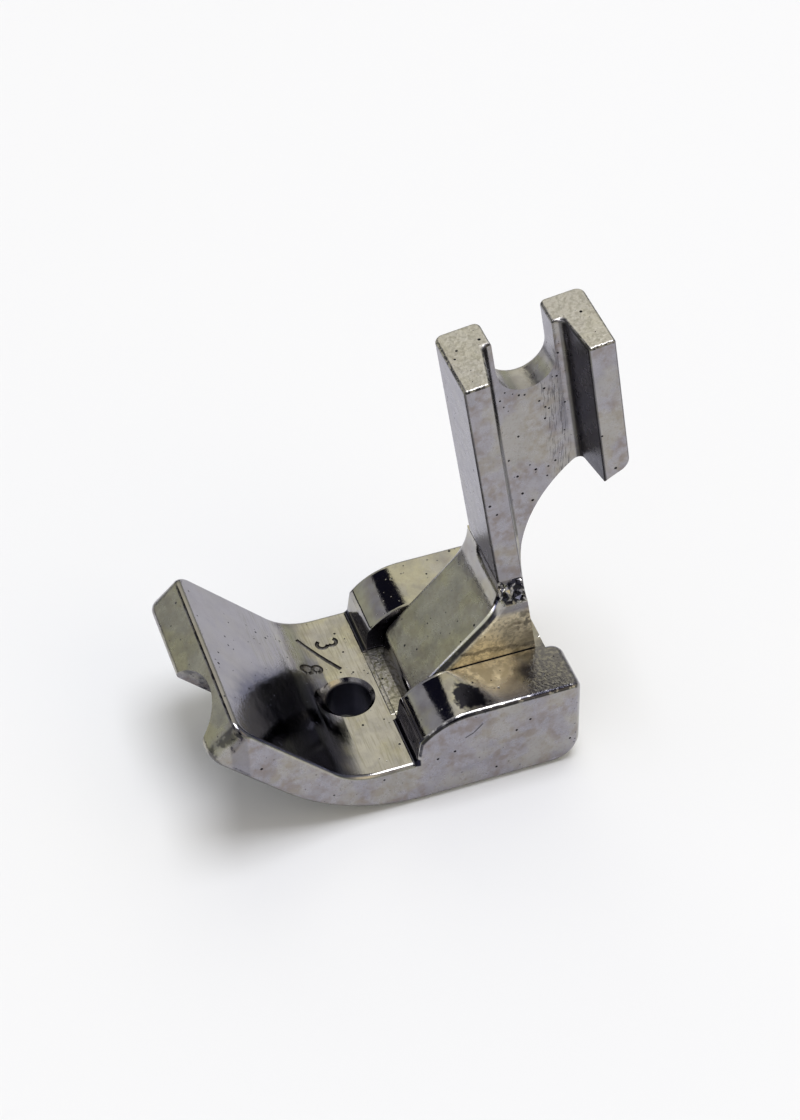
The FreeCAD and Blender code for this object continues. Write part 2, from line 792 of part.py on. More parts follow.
shoulder = pad("shoulder", shoulder_outline(), "([sole_width] - [slot_width]) / 2", both_sides=False)
mirror = body.newObject("PartDesign::Mirrored", "other_shoulder")
mirror.Originals = [shoulder]
mirror.MirrorPlane = (origin_plane("YZ_Plane"), [""])
body.Tip = mirror
doc.recompute()


# The heel stands back between the shoulders
def recess_outline():
    out = Outline("recess_outline", "XY_Plane")
    top = FreeCAD.Vector(0, 0, size("shoulder_height"))
    out.sketch.AttachmentOffset = FreeCAD.Placement(top, FreeCAD.Rotation())
    tie(out.sketch, "AttachmentOffset.Base.z", "[shoulder_height]")
    doc.recompute()
    half = size("slot_width") / 2
    start = heel_reach() - size("heel_recess_depth")
    end = heel_reach() + size("overlap")
    front, right, back, left = out.polygon([(-half, start), (half, start), (half, end), (-half, end)])
    for run in (front, back):
        out.rule("Horizontal", run)
    for run in (right, left):
        out.rule("Vertical", run)
    out.across(right, 1, "[slot_width] / 2")
    out.across(left, 1, "[slot_width] / 2")
    out.up(front, 1, "[heel_reach] - [heel_recess_depth]")
    out.up(back, 1, "[heel_reach] + [overlap]")
    return out


pocket("heel_recess", recess_outline(), both_sides=False)
rounded(
    "heel_recess_corners",
    "[heel_recess_radius]",
    lambda x, y, z, edge: near(abs(x), size("slot_width") / 2)
    and near(y, heel_reach())
    and edge.Length > size("overlap"),
)


# The toe's two corners are rounded square to its slope
for side, name in ((1, "toe_corner_near"), (-1, "toe_corner_far")):
    corner = corner_outline(
        name, side, "sole_width", "toe_corner_radius", "toe_angle",
        (-size("toe_reach"), underside_height(-size("toe_reach"))), ("-[toe_reach]", "[tip_height]"),
    )
    pocket(f"{name}_cut", corner)


# The rest of the edges that show
def shoulder_root(x, y, z, edge):
    """Where the shoulders' steep walls meet the valley."""
    outside_slot = abs(x) > size("slot_width") / 2 + size("heel_recess_radius")
    return near(y, size("shoulder_front")) and near(z, size("valley_height")) and outside_slot


def upper_edge(x, y, z, edge):
    """The foot's upper outline on each side, from the toe to the heel."""
    above = z > underside_height(y) + MARGIN
    return near(abs(x), size("sole_width") / 2) and above and y < heel_reach() - size("heel_corner_radius")


def lower_edge(x, y, z, edge):
    """The straight lower edges, which lead smoothly on round the heel's rim and the toe's tip."""
    return near(abs(x), size("sole_width") / 2) and near(z, 0)


rounded("shoulder_roots", "[shoulder_root_radius]", shoulder_root)
rounded("upper_edges", "[side_radius]", upper_edge)
rounded("lower_edges", "[base_radius]", lower_edge)


# The cord groove runs the length of the sole, under its flat, its curve and the toe
def groove_path():
    out = Outline("groove_path", "YZ_Plane")
    out.sketch.AttachmentOffset = FreeCAD.Placement(
        FreeCAD.Vector(0, 0, size("groove_offset")), FreeCAD.Rotation()
    )
    tie(out.sketch, "AttachmentOffset.Base.z", "[groove_offset]")
    doc.recompute()
    sunk = size("groove_radius") - size("groove_depth")
    start = size("underside_start")
    above = size("underside_radius")
    angle = size("toe_angle")
    tilt = math.radians(angle)
    turn = above + sunk
    heel = heel_reach() + size("overlap")
    end = FreeCAD.Vector(start - turn * math.sin(tilt), above - turn * math.cos(tilt), 0)
    tip = end + FreeCAD.Vector(-math.cos(tilt), math.sin(tilt), 0) * size("toe_reach")
    flat = out.line((heel, -sunk), (start, -sunk))
    bend = out.arc((start, above), turn, 270 - angle, 270)
    rise = out.line((end.x, end.y), (tip.x, tip.y))
    out.smooth(flat, 2, bend, 2)
    out.smooth(bend, 1, rise, 1)
    out.rule("Horizontal", flat)
    out.up(flat, 1, "[groove_radius] - [groove_depth]")
    out.across(flat, 1, "[heel_reach] + [overlap]")
    out.across(flat, 2, "[underside_start]")
    out.radius(bend, "[underside_radius] + [groove_radius] - [groove_depth]")
    out.sized("(180 - [toe_angle]) * 1 deg", "Angle", rise, math.pi - tilt)
    out.sized("[toe_reach]", "Distance", rise, size("toe_reach"))
    return out.check()


def groove_section():
    out = Outline("groove_section", "XZ_Plane")
    behind = -(heel_reach() + size("overlap"))
    out.sketch.AttachmentOffset = FreeCAD.Placement(FreeCAD.Vector(0, 0, behind), FreeCAD.Rotation())
    tie(out.sketch, "AttachmentOffset.Base.z", "-([heel_reach] + [overlap])")
    doc.recompute()
    sunk = size("groove_radius") - size("groove_depth")
    ring = out.circle((size("groove_offset"), -sunk), size("groove_radius"))
    out.radius(ring, "[groove_radius]")
    out.across(ring, 3, "[groove_offset]")
    out.up(ring, 3, "[groove_radius] - [groove_depth]")
    return out.check()


before_groove = body.Shape.Volume
groove = body.newObject("PartDesign::SubtractivePipe", "cord_groove")
groove.Profile = groove_section()
groove.Spine = groove_path()
doc.recompute()
if body.Shape.Volume >= before_groove:
    raise RuntimeError("the cord groove cuts nothing")


# The needle hole has a small cone at its rim, cut by one turned profile
def hole_outline():
    out = Outline("hole_outline", "YZ_Plane")
    out.sketch.AttachmentOffset = FreeCAD.Placement(
        FreeCAD.Vector(0, 0, size("hole_offset")), FreeCAD.Rotation()
    )
    tie(out.sketch, "AttachmentOffset.Base.z", "[hole_offset]")
    doc.recompute()
    bore = size("hole_diameter") / 2
    rim = size("hole_rim_diameter") / 2
    floor = size("valley_height")
    corners = [
        (0, -size("overlap")),
        (bore, -size("overlap")),
        (bore, floor - (rim - bore)),
        (rim + size("cone_rise"), floor + size("cone_rise")),
        (0, floor + size("cone_rise")),
    ]
    bottom, wall, cone, top, axis = out.polygon(corners)
    out.rule("PointOnObject", axis, 1, -2)
    out.rule("PointOnObject", axis, 2, -2)
    out.rule("Horizontal", bottom)
    out.rule("Vertical", wall)
    out.rule("Horizontal", top)
    out.up(bottom, 1, "[overlap]")
    out.across(wall, 1, "[hole_diameter] / 2")
    out.up(wall, 2, "[valley_height] - ([hole_rim_diameter] - [hole_diameter]) / 2")
    out.across(cone, 2, "[hole_rim_diameter] / 2 + [cone_rise]")
    out.up(cone, 2, "[valley_height] + [cone_rise]")
    return out.check()


before_hole = body.Shape.Volume
hole = body.newObject("PartDesign::Groove", "needle_hole")
hole.Profile = hole_outline()
hole.ReferenceAxis = (hole.Profile[0], ["V_Axis"])
hole.Angle = 360
doc.recompute()
if body.Shape.Volume >= before_hole:
    raise RuntimeError("the needle hole cuts nothing")


# The row's origin is the middle of the foot's box, on the plane of the sole
box = body.Shape.optimalBoundingBox(False, False)
body.Placement = FreeCAD.Placement(FreeCAD.Vector(0, -(box.YMin + box.YMax) / 2, 0), FreeCAD.Rotation())
doc.recompute()

for item in doc.Objects:
    if "Invalid" in item.State or "Error" in item.State:
        raise RuntimeError(f"{item.Name} is {item.State}")
if body.Shape.isNull() or not body.Shape.isValid() or len(body.Shape.Solids) != 1:
    raise RuntimeError("the foot is not one valid solid")

os.makedirs("parts", exist_ok=True)
body.Shape.exportStep(f"parts/{NODE}.step")
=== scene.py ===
"""A nickel-plated presser foot for piping, dressed over its packed casting.

Places are in millimetres, counted from the needle's line: X across the foot towards the open side
of the post, Y from the toe to the heel, Z up from the flat of the sole.
"""
import json
import math

import bmesh
import bpy
from mathutils import Matrix, Vector, noise
from mathutils.bvhtree import BVHTree
from mathutils.interpolate import poly_3d_calc


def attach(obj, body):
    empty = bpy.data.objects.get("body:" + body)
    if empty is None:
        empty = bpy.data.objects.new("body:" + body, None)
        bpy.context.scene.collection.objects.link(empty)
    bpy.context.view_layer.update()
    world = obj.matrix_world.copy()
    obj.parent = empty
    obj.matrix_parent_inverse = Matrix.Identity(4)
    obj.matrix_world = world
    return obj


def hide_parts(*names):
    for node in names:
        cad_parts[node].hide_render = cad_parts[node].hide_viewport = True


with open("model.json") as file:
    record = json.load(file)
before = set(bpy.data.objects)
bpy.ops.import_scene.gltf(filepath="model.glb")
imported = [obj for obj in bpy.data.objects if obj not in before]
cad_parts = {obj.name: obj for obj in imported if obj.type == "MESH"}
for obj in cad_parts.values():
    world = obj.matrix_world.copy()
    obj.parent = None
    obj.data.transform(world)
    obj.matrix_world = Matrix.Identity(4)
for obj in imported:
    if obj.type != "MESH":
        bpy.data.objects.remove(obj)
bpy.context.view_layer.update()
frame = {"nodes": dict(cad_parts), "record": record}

bl_info = {
    "name": "Piping Presser Foot",
    "version": (1, 0, 0),
    "blender": (4, 5, 0),
    "location": "View3D > Sidebar > Foot",
    "description": "Finishes a cast presser foot: figures, pits, rough ledge, plating and stage",
    "category": "Object",
}

NODE = "presser_foot"
BODY = "root"
SHADED = "shaded_casting"
MM = 0.001


def mount(name):
    """The place of one of the part's mounts."""
    return next(item["pos_m"] for item in frame["record"]["mounts"] if item["name"] == name)


NEEDLE_Y = mount("needle_hole")[1]


def spot(x, y, z):
    """A place in millimetres from the needle's line, in the frame's metres."""
    return Vector((x * MM, y * MM + NEEDLE_Y, z * MM))


class CastingSizes(bpy.types.PropertyGroup):
    """How the casting's mesh is cleaned and shaded."""

    weld: bpy.props.FloatProperty(
        name="Weld", description="Points closer than this are one", default=0.001 * MM,
        precision=6, unit="LENGTH",
    )
    flat_angle: bpy.props.FloatProperty(
        name="Flat angle", description="Faces that turn less than this are one face",
        default=math.radians(0.3), subtype="ANGLE",
    )
    flat_width: bpy.props.FloatProperty(
        name="Flat width", description="A flat is at least this wide", default=1.05 * MM,
        precision=6, unit="LENGTH",
    )
    crease_angle: bpy.props.FloatProperty(
        name="Crease angle", description="Edges that turn more than this stay sharp",
        default=math.radians(38), subtype="ANGLE",
    )


class FigureSizes(bpy.types.PropertyGroup):
    """The stamped figures that give the size of the cord."""

    height: bpy.props.FloatProperty(
        name="Height", description="Height of a figure", default=1.25 * MM, precision=6,
        unit="LENGTH",
    )
    stroke: bpy.props.FloatProperty(
        name="Stroke", description="Half the width of a stroke", default=0.135 * MM, precision=6,
        unit="LENGTH",
    )


class PitSizes(bpy.types.PropertyGroup):
    """The casting's small open pits."""

    density: bpy.props.FloatProperty(
        name="Density", description="Pits on a square metre", default=900000.0, min=0,
    )
    smallest: bpy.props.FloatProperty(
        name="Smallest", description="Radius of the smallest pit", default=0.035 * MM, precision=6,
        unit="LENGTH",
    )
    largest: bpy.props.FloatProperty(
        name="Largest", description="Radius of the largest pit", default=0.095 * MM, precision=6,
        unit="LENGTH",
    )
    seed: bpy.props.IntProperty(name="Seed", description="Which scatter of pits", default=7)


class LedgeSizes(bpy.types.PropertyGroup):
    """The rough, unground ledge beside the post."""

    step: bpy.props.FloatProperty(
        name="Step", description="Width of its lumps", default=0.25 * MM, precision=6,
        unit="LENGTH",
    )
    depth: bpy.props.FloatProperty(
        name="Depth", description="How deep its hollows are", default=0.26 * MM, precision=6,
        unit="LENGTH",
    )


class NickelLooks(bpy.types.PropertyGroup):
    """The plating's colours and how far it shines."""

    plate: bpy.props.FloatVectorProperty(
        name="Plate", description="Colour of the clean plating", default=(0.40, 0.388, 0.378),
        subtype="COLOR", size=3, min=0, max=1,
    )
    straw: bpy.props.FloatVectorProperty(
        name="Straw", description="Colour of the straw-yellow tarnish",
        default=(0.41, 0.392, 0.305), subtype="COLOR", size=3, min=0, max=1,
    )
    gold: bpy.props.FloatVectorProperty(
        name="Gold", description="Colour of the deep tarnish beside the rib",
        default=(0.84, 0.745, 0.54), subtype="COLOR", size=3, min=0, max=1,
    )
    bronze: bpy.props.FloatVectorProperty(
        name="Bronze", description="Colour of that tarnish where it is thick",
        default=(0.36, 0.305, 0.205), subtype="COLOR", size=3, min=0, max=1,
    )
    # A darker, cooler copy of the plating for the upright faces: partly a film, partly painted
    # shade
    film_and_shade: bpy.props.FloatVectorProperty(
        name="Film", description="Colour of the cool film on the upright faces",
        default=(0.322, 0.312, 0.348), subtype="COLOR", size=3, min=0, max=1,
    )
    rust: bpy.props.FloatVectorProperty(
        name="Stain", description="Colour of the brown stains", default=(0.21, 0.165, 0.135),
        subtype="COLOR", size=3, min=0, max=1,
    )
    # Colour of the dirt, and of the painted shade and painted dark reflections
    dirt_and_shade: bpy.props.FloatVectorProperty(
        name="Grime", description="Colour of pits, corners and the bore",
        default=(0.016, 0.016, 0.028), subtype="COLOR", size=3, min=0, max=1,
    )
    # Colour of the painted dark reflection in the valley's near half
    valley_reflection: bpy.props.FloatVectorProperty(
        name="Bluing", description="Colour of the heat tint in the valley",
        default=(0.042, 0.047, 0.095), subtype="COLOR", size=3, min=0, max=1,
    )
    # Colour of the painted highlight on the rib's near edge
    bright: bpy.props.FloatVectorProperty(
        name="Bright", description="Colour of the edge that is rubbed bright",
        default=(0.92, 0.90, 0.84), subtype="COLOR", size=3, min=0, max=1,
    )
    polish: bpy.props.FloatProperty(
        name="Polish", description="Roughness of the polished faces", default=0.05, min=0, max=1,
    )
    satin: bpy.props.FloatProperty(
        name="Satin", description="Roughness of the ground faces", default=0.27, min=0, max=1,
    )


class StageSizes(bpy.types.PropertyGroup):
    """The floor, the lights and the camera."""

    aim: bpy.props.FloatVectorProperty(
        name="Aim", description="The point that the camera looks at",
        default=spot(-5.92, 5.52, 7.33), subtype="TRANSLATION", size=3,
    )
    distance: bpy.props.FloatProperty(
        name="Distance", description="From the aim to the camera", default=159.4 * MM,
        unit="LENGTH",
    )
    azimuth: bpy.props.FloatProperty(
        name="Azimuth", description="Turn of the camera round the foot, from the toe",
        default=math.radians(72.41), subtype="ANGLE",
    )
    elevation: bpy.props.FloatProperty(
        name="Elevation", description="Height of the camera above the horizon",
        default=math.radians(44.74), subtype="ANGLE",
    )
    roll: bpy.props.FloatProperty(
        name="Roll", description="Turn of the picture", default=math.radians(-2.06),
        subtype="ANGLE",
    )
    lens: bpy.props.FloatProperty(
        name="Lens", description="Focal length on a 36 mm sensor", default=83.6, unit="CAMERA",
    )
    floor_colour: bpy.props.FloatVectorProperty(
        name="Floor", description="Colour of the floor", default=(0.84, 0.845, 0.87),
        subtype="COLOR", size=3, min=0, max=1,
    )
    floor_reach: bpy.props.FloatProperty(
        name="Floor reach", description="Half the floor's width", default=2.0, unit="LENGTH",
    )


class FootSettings(bpy.types.PropertyGroup):
    """Everything that a user would change."""

    casting: bpy.props.PointerProperty(type=CastingSizes)
    figures: bpy.props.PointerProperty(type=FigureSizes)
    pits: bpy.props.PointerProperty(type=PitSizes)
    ledge: bpy.props.PointerProperty(type=LedgeSizes)
    nickel: bpy.props.PointerProperty(type=NickelLooks)
    stage: bpy.props.PointerProperty(type=StageSizes)


def settings():
    """The foot's settings in this scene."""
    return bpy.context.scene.piping_foot


class Wiring:
    """Short words for building a node tree."""

    def __init__(self, tree):
        self.tree = tree

    def node(self, kind, inputs=None, **properties):
        """A new node with its inputs fed and its properties set."""
        made = self.tree.nodes.new(kind)
        for name, value in properties.items():
            setattr(made, name, value)
        for name, value in (inputs or {}).items():
            self.feed(value, made.inputs[name])
        return made

    def feed(self, value, socket):
        """Link a socket, or set a plain value."""
        if isinstance(value, bpy.types.NodeSocket):
            self.tree.links.new(value, socket)
        else:
            socket.default_value = value

    def math(self, operation, first, second=0.0, clamp=False):
        """One step of arithmetic."""
        made = self.node(
            "ShaderNodeMath", {0: first, 1: second}, operation=operation, use_clamp=clamp,
        )
        return made.outputs[0]

    def vector(self, operation, *values):
        """One step of arithmetic on vectors."""
        made = self.node("ShaderNodeVectorMath", dict(enumerate(values)), operation=operation)
        return made.outputs[0]

    def between(self, value, low, high):
        """0 below low, 1 above high and smooth between; low may be the larger."""
        made = self.node(
            "ShaderNodeMapRange", {"Value": value, "From Min": low, "From Max": high},
            interpolation_type="SMOOTHSTEP",
        )
        return made.outputs["Result"]

    def both(self, *masks):
        """Where all the masks hold."""
        result = masks[0]
        for mask in masks[1:]:
            result = self.math("MULTIPLY", result, mask)
        return result

    def either(self, *masks):
        """Where any of the masks holds."""
        result = masks[0]
        for mask in masks[1:]:
            result = self.math("MAXIMUM", result, mask)
        return result

    def mix(self, share, first, second):
        """A colour that goes from first to second."""
        made = self.node("ShaderNodeMix", data_type="RGBA")
        self.feed(share, made.inputs["Factor"])
        for index, value in ((6, first), (7, second)):
            self.feed(value, made.inputs[index])
        return made.outputs[2]

    def blend(self, share, first, second):
        """A number that goes from first to second."""
        made = self.node("ShaderNodeMix", data_type="FLOAT")
        for index, value in ((0, share), (2, first), (3, second)):
            self.feed(value, made.inputs[index])
        return made.outputs[0]

    def noise(self, vector, scale, detail=3.0, stretch=(1.0, 1.0, 1.0)):
        """Soft noise, drawn finer along an axis by its stretch."""
        stretched = self.node("ShaderNodeMapping", {"Vector": vector, "Scale": stretch})
        made = self.node("ShaderNodeTexNoise", {
            "Vector": stretched.outputs[0], "Scale": scale, "Detail": detail,
        })
        return made.outputs["Fac"]

    def toward(self, vector, direction):
        """The cosine between a vector and a direction."""
        made = self.node(
            "ShaderNodeVectorMath", {0: vector, 1: Vector(direction).normalized()},
            operation="DOT_PRODUCT",
        )
        return made.outputs["Value"]

    def slab(self, value, low, high, soft):
        """1 where a value lies between two limits."""
        rise = self.between(value, low - soft, low + soft)
        return self.both(rise, self.between(value, high + soft, high - soft))

    def dots(self, vector, scale, share, size):
        """Round dots in a share of the cells of a loose grid; size is in cells."""
        cells = self.node("ShaderNodeTexVoronoi", {"Vector": vector, "Scale": scale})
        chosen = self.node("ShaderNodeSeparateColor", {0: cells.outputs["Color"]}).outputs["Red"]
        width = self.math("MULTIPLY", self.between(chosen, 1 - share, 1), size)
        return self.between(self.math("SUBTRACT", cells.outputs["Distance"], width), 0.04, -0.04)

    def inside(self, vector, corners, soft):
        """1 inside an outline in X and Y, whose corners run anticlockwise."""
        masks = []
        for start, end in zip(corners, corners[1:] + corners[:1]):
            inward = Vector((start[1] - end[1], end[0] - start[0], 0)).normalized()
            edge = inward.dot(Vector((*start, 0)))
            depth = self.math("SUBTRACT", self.toward(vector, inward), edge)
            masks.append(self.between(depth, -soft, soft))
        return self.both(*masks)

    def scratch(self, vector, start, end, width):
        """1 on a thin straight mark between two places."""
        along = (Vector(end) - Vector(start)).normalized()
        leg = self.vector("SUBTRACT", vector, start)
        side = self.vector("CROSS_PRODUCT", leg, along)
        off = self.node("ShaderNodeVectorMath", {0: side}, operation="LENGTH").outputs["Value"]
        span = self.slab(self.toward(leg, along), 0, (Vector(end) - Vector(start)).length, width)
        return self.both(span, self.between(off, width, width * 0.3))

    def ragged(self, vector, scale, amount):
        """The same places, shaken by noise."""
        shake = self.node("ShaderNodeTexNoise", {"Vector": vector, "Scale": scale, "Detail": 4.0})
        centred = self.vector("SUBTRACT", shake.outputs["Color"], (0.5, 0.5, 0.5))
        return self.vector("MULTIPLY_ADD", centred, (amount,) * 3, vector)

    def cone(self, vector, direction, core, edge):
        """1 within core degrees of a direction, 0 beyond edge degrees."""
        cosine = self.toward(vector, direction)
        return self.between(cosine, math.cos(math.radians(edge)), math.cos(math.radians(core)))


def colour(values, strength=1.0):
    """A colour for a socket, made darker or lighter by a factor."""
    return (*(strength * value for value in values), 1.0)


# Outlines on the level faces, anticlockwise in X and Y
SHELF = [(2.9, 5.4), (4.4, 6.5), (6.1, 7.6), (6.2, 8.8), (4.6, 9.1), (3.6, 11.0), (2.9, 11.0)]
REAR_CORNER = [(4.4, 9.6), (7.4, 9.2), (7.4, 13.6), (2.6, 13.6), (2.6, 11.4)]
# The next outline holds a painted dark reflection on the near shoulder's top
SHOULDER_REFLECTION_OUTLINE = [(6.45, 6.7), (5.0, 6.6), (3.96, 5.55), (4.9, 5.03), (6.1, 5.04)]
SMUDGE = [(4.2, 8.9), (5.0, 9.0), (5.4, 9.8), (4.3, 10.3), (3.8, 9.8)]
# The outline of the painted dark reflection in the valley
VALLEY_REFLECTION_OUTLINE = [
    (7.6, -8.4), (7.6, -1.8), (2.7, -1.1), (-1.0, -1.4), (-2.4, -2.4), (-0.6, -5.2), (2.4, -7.4),
]
# Start, end and half width of each scratch, and of the tool's line along the rib's side
SCRATCHES = (
    ((6.8, 5.13, 4.59), (6.8, 5.66, 4.85), 0.05),
    ((6.8, 5.66, 4.85), (6.8, 6.22, 5.42), 0.05),
    ((-0.35, 14.6, 20.5), (-0.35, 14.2, 23.5), 0.03),
)
TOOL_LINE = ((3.07, 5.4, 7.6), (3.07, 10.9, 6.9), 0.28)
# The bore's middle across the foot and the radius where its wall begins
BORE_X = 0.25
BORE_RADIUS = 1.42
# The way across the leaning post, from its front to its back
POST_ACROSS = (0.0, 0.992, 0.127)
BUMP_HEIGHT = 0.010 * MM


class Surface:
    """Places on the casting, the way its faces look, and masks over its regions.

    A mask's limits are millimetres for a place and cosines for a direction.
    """

    def __init__(self, wire):
        place = wire.node("ShaderNodeTexCoord").outputs["Object"]
        self.mm = mm = wire.node("ShaderNodeMapping", {
            "Vector": place, "Location": -spot(0, 0, 0) / MM, "Scale": (1 / MM,) * 3,
        }).outputs[0]
        self.at = at = wire.node("ShaderNodeSeparateXYZ", {0: mm}).outputs
        normal = wire.node("ShaderNodeNewGeometry").outputs["Normal"]
        self.facing = facing = wire.node("ShaderNodeSeparateXYZ", {0: normal}).outputs
        self.off_middle = wire.math("ABSOLUTE", at["X"])
        self.post_depth = wire.toward(mm, POST_ACROSS)

        # Noise that several layers share
        self.wild = wild = wire.ragged(mm, 1.6, 0.9)
        self.mottle = wire.noise(mm, 1.7, 6.0)
        self.fine = wire.noise(mm, 7.0, 4.0)
        self.grain = wire.between(wire.noise(mm, 4.5, 5.0), 0.44, 0.62)
        self.broken = wire.between(wire.noise(mm, 2.4, 5.0), 0.40, 0.50)

        # Directions
        self.upright = wire.between(wire.math("ABSOLUTE", facing["X"]), 0.80, 0.95)
        self.level = wire.between(facing["Z"], 0.75, 0.95)
        self.turned = wire.slab(facing["X"], 0.25, 0.90, 0.05)

        # Regions
        self.in_post = wire.between(at["Z"], 12.0, 12.6)
        self.post_top = wire.both(self.level, wire.between(at["Z"], 26.5, 27.5))
        self.shoulder_top = wire.both(
            wire.slab(at["Z"], 6.1, 6.6, 0.05), wire.between(facing["Z"], 0.6, 0.8),
        )
        rib_face = wire.both(
            wire.between(self.off_middle, 3.15, 3.0), wire.between(at["Y"], 2.4, 2.7),
            wire.between(facing["Z"], 0.35, 0.55), wire.between(facing["Y"], 0.1, -0.1),
        )
        toe_end = wire.both(
            wire.between(at["Y"], -7.9, -8.3), wire.between(facing["Y"], -0.1, -0.4),
        )
        self.pad = wire.both(
            wire.slab(at["X"], -2.9, 2.5, 0.05), wire.slab(at["Y"], 1.95, 3.6, 0.05),
            wire.slab(at["Z"], 3.2, 3.7, 0.05), self.level,
        )
        self.cast_skin = wire.either(rib_face, toe_end, self.pad, self.post_top)
        self.valley = wire.both(
            wire.between(at["Z"], 6.9, 6.6), wire.between(facing["Z"], 0.35, 0.6),
            wire.between(at["Y"], 2.1, 1.9),
        )
        self.rib_side = wire.both(
            wire.slab(at["X"], 2.9, 3.2, 0.03), wire.slab(at["Z"], 6.2, 9.9, 0.3),
            wire.between(at["Y"], 3.4, 4.6), self.upright,
        )
        self.shelf = wire.both(self.shoulder_top, wire.inside(wild, SHELF, 0.5))
        self.gold = wire.either(self.rib_side, self.shelf)
        self.rear_corner = wire.both(self.shoulder_top, wire.inside(wild, REAR_CORNER, 0.3))
        bore_x = wire.math("SUBTRACT", at["X"], BORE_X)
        from_bore = wire.math("SQRT", wire.math(
            "ADD", wire.math("MULTIPLY", bore_x, bore_x), wire.math("MULTIPLY", at["Y"], at["Y"]),
        ))
        self.in_bore = wire.both(
            wire.between(from_bore, BORE_RADIUS + 0.04, BORE_RADIUS),
            wire.between(at["Z"], 3.30, 3.05),
        )
        self.dots = wire.either(wire.dots(mm, 1.3, 0.30, 0.10), wire.dots(mm, 3.4, 0.22, 0.16))
        self.scratches = wire.either(*(wire.scratch(mm, *mark) for mark in SCRATCHES))


def tarnish(wire, on, looks):
    """The plating's colour: straw clouds, a cool film on the upright faces that is partly painted
    shade, dull patches, stains, and painted shade on the post's front, the toe's slope and the
    toe's ridge strip.
    """
    mm, wild, at, facing = on.mm, on.wild, on.at, on.facing
    clouds = wire.between(wire.noise(wild, 0.40, 3.0), 0.42, 0.60)
    dull = wire.between(wire.noise(wild, 0.70, 4.0), 0.40, 0.74)
    stains = wire.both(
        wire.between(on.mottle, 0.38, 0.66), wire.between(wire.noise(mm, 0.45, 3.0), 0.34, 0.58),
    )
    warm = wire.both(wire.between(wire.noise(wild, 0.30, 3.0), 0.46, 0.62), on.upright)
    post_front = wire.both(on.in_post, wire.between(facing["Y"], -0.9, -0.97))
    toe_slope = wire.both(
        wire.between(at["Y"], -2.6, -3.4), wire.slab(facing["Y"], 0.55, 0.85, 0.05),
    )
    speckle = wire.both(wire.between(on.fine, 0.50, 0.75), wire.either(on.upright, on.cast_skin))
    grainy = wire.both(on.grain, wire.either(on.pad, wire.both(on.post_top, 0.35)))
    # Painted shade over the bright reflection on the toe's ridge round
    toe_strip_shade = wire.both(
        wire.slab(facing["Y"], -0.1, 0.6, 0.05), wire.slab(at["Y"], -8.9, -7.9, 0.1),
    )
    brushed = wire.both(
        wire.between(wire.noise(mm, 1.0, 4.0, (0.7, 9.0, 9.0)), 0.45, 0.70), on.valley,
    )
    layers = (
        (wire.both(clouds, 0.75), colour(looks.straw)),
        # The upright faces darker and cooler: partly a film, partly painted shade
        (wire.both(on.upright, 0.92), colour(looks.film_and_shade)),
        (wire.both(dull, wire.blend(on.upright, 0.55, 0.45)), colour(looks.film_and_shade, 0.66)),
        (wire.both(stains, wire.blend(on.upright, 0.25, 0.60)), colour(looks.rust)),
        (wire.both(warm, 0.35), colour(looks.straw)),
        # Painted shade: the post's front and the toe's slope darker
        (wire.both(wire.either(post_front, toe_slope), 0.7), colour(looks.film_and_shade, 0.9)),
        (wire.both(on.post_top, 0.65), colour(looks.plate, 1.35)),
        (wire.both(speckle, 0.35), colour(looks.rust)),
        (grainy, colour(looks.straw, 0.45)),
        (wire.both(toe_strip_shade, 0.6), colour(looks.film_and_shade, 0.62)),
        (wire.both(brushed, 0.45), colour(looks.straw, 0.5)),
    )
    tone = colour(looks.plate)
    for share, tint in layers:
        tone = wire.mix(share, tone, tint)
    return tone


def gilding(wire, on, looks, tone):
    """Gold on the rib's side and the shelf beside it, and lilac at the shoulder's rear corner."""
    streaks = wire.both(
        wire.between(wire.noise(on.wild, 1.0, 6.0, (1.0, 0.9, 2.6)), 0.40, 0.74), on.rib_side,
    )
    blotches = wire.both(wire.between(wire.noise(on.wild, 0.9, 5.0), 0.44, 0.62), on.shelf)
    freckles = wire.between(wire.noise(on.mm, 5.0, 6.0), 0.46, 0.62)
    thick = wire.either(streaks, wire.both(blotches, 0.8), wire.both(freckles, 0.65))
    brass = wire.mix(thick, colour(looks.gold), colour(looks.bronze))
    tone = wire.mix(wire.both(on.gold, 0.92), tone, brass)
    lilac = wire.both(on.rear_corner, wire.blend(on.grain, 0.95, 0.6))
    return wire.mix(lilac, tone, colour(looks.film_and_shade, 0.40))


def painted_rib_highlight(wire, on):
    """The strip along the rib's near edge that gets a painted highlight."""
    return wire.both(
        wire.between(on.at["X"], 2.3, 2.5), wire.slab(on.at["Y"], 2.2, 8.5, 0.1),
        wire.slab(on.at["Z"], 3.9, 10.8, 0.1), wire.slab(on.facing["X"], 0.22, 0.52, 0.06),
        wire.between(on.facing["Z"], 0.2, 0.3),
    )


def valley_dark_reflection(wire, on):
    """The blue-black patch in the near half of the valley: a painted dark reflection."""
    return wire.both(
        wire.between(on.at["Z"], 3.2, 3.3), wire.between(on.facing["Z"], 0.5, 0.6),
        wire.between(on.facing["Y"], -0.1, 0.1), wire.inside(on.wild, VALLEY_REFLECTION_OUTLINE, 0.9),
    )


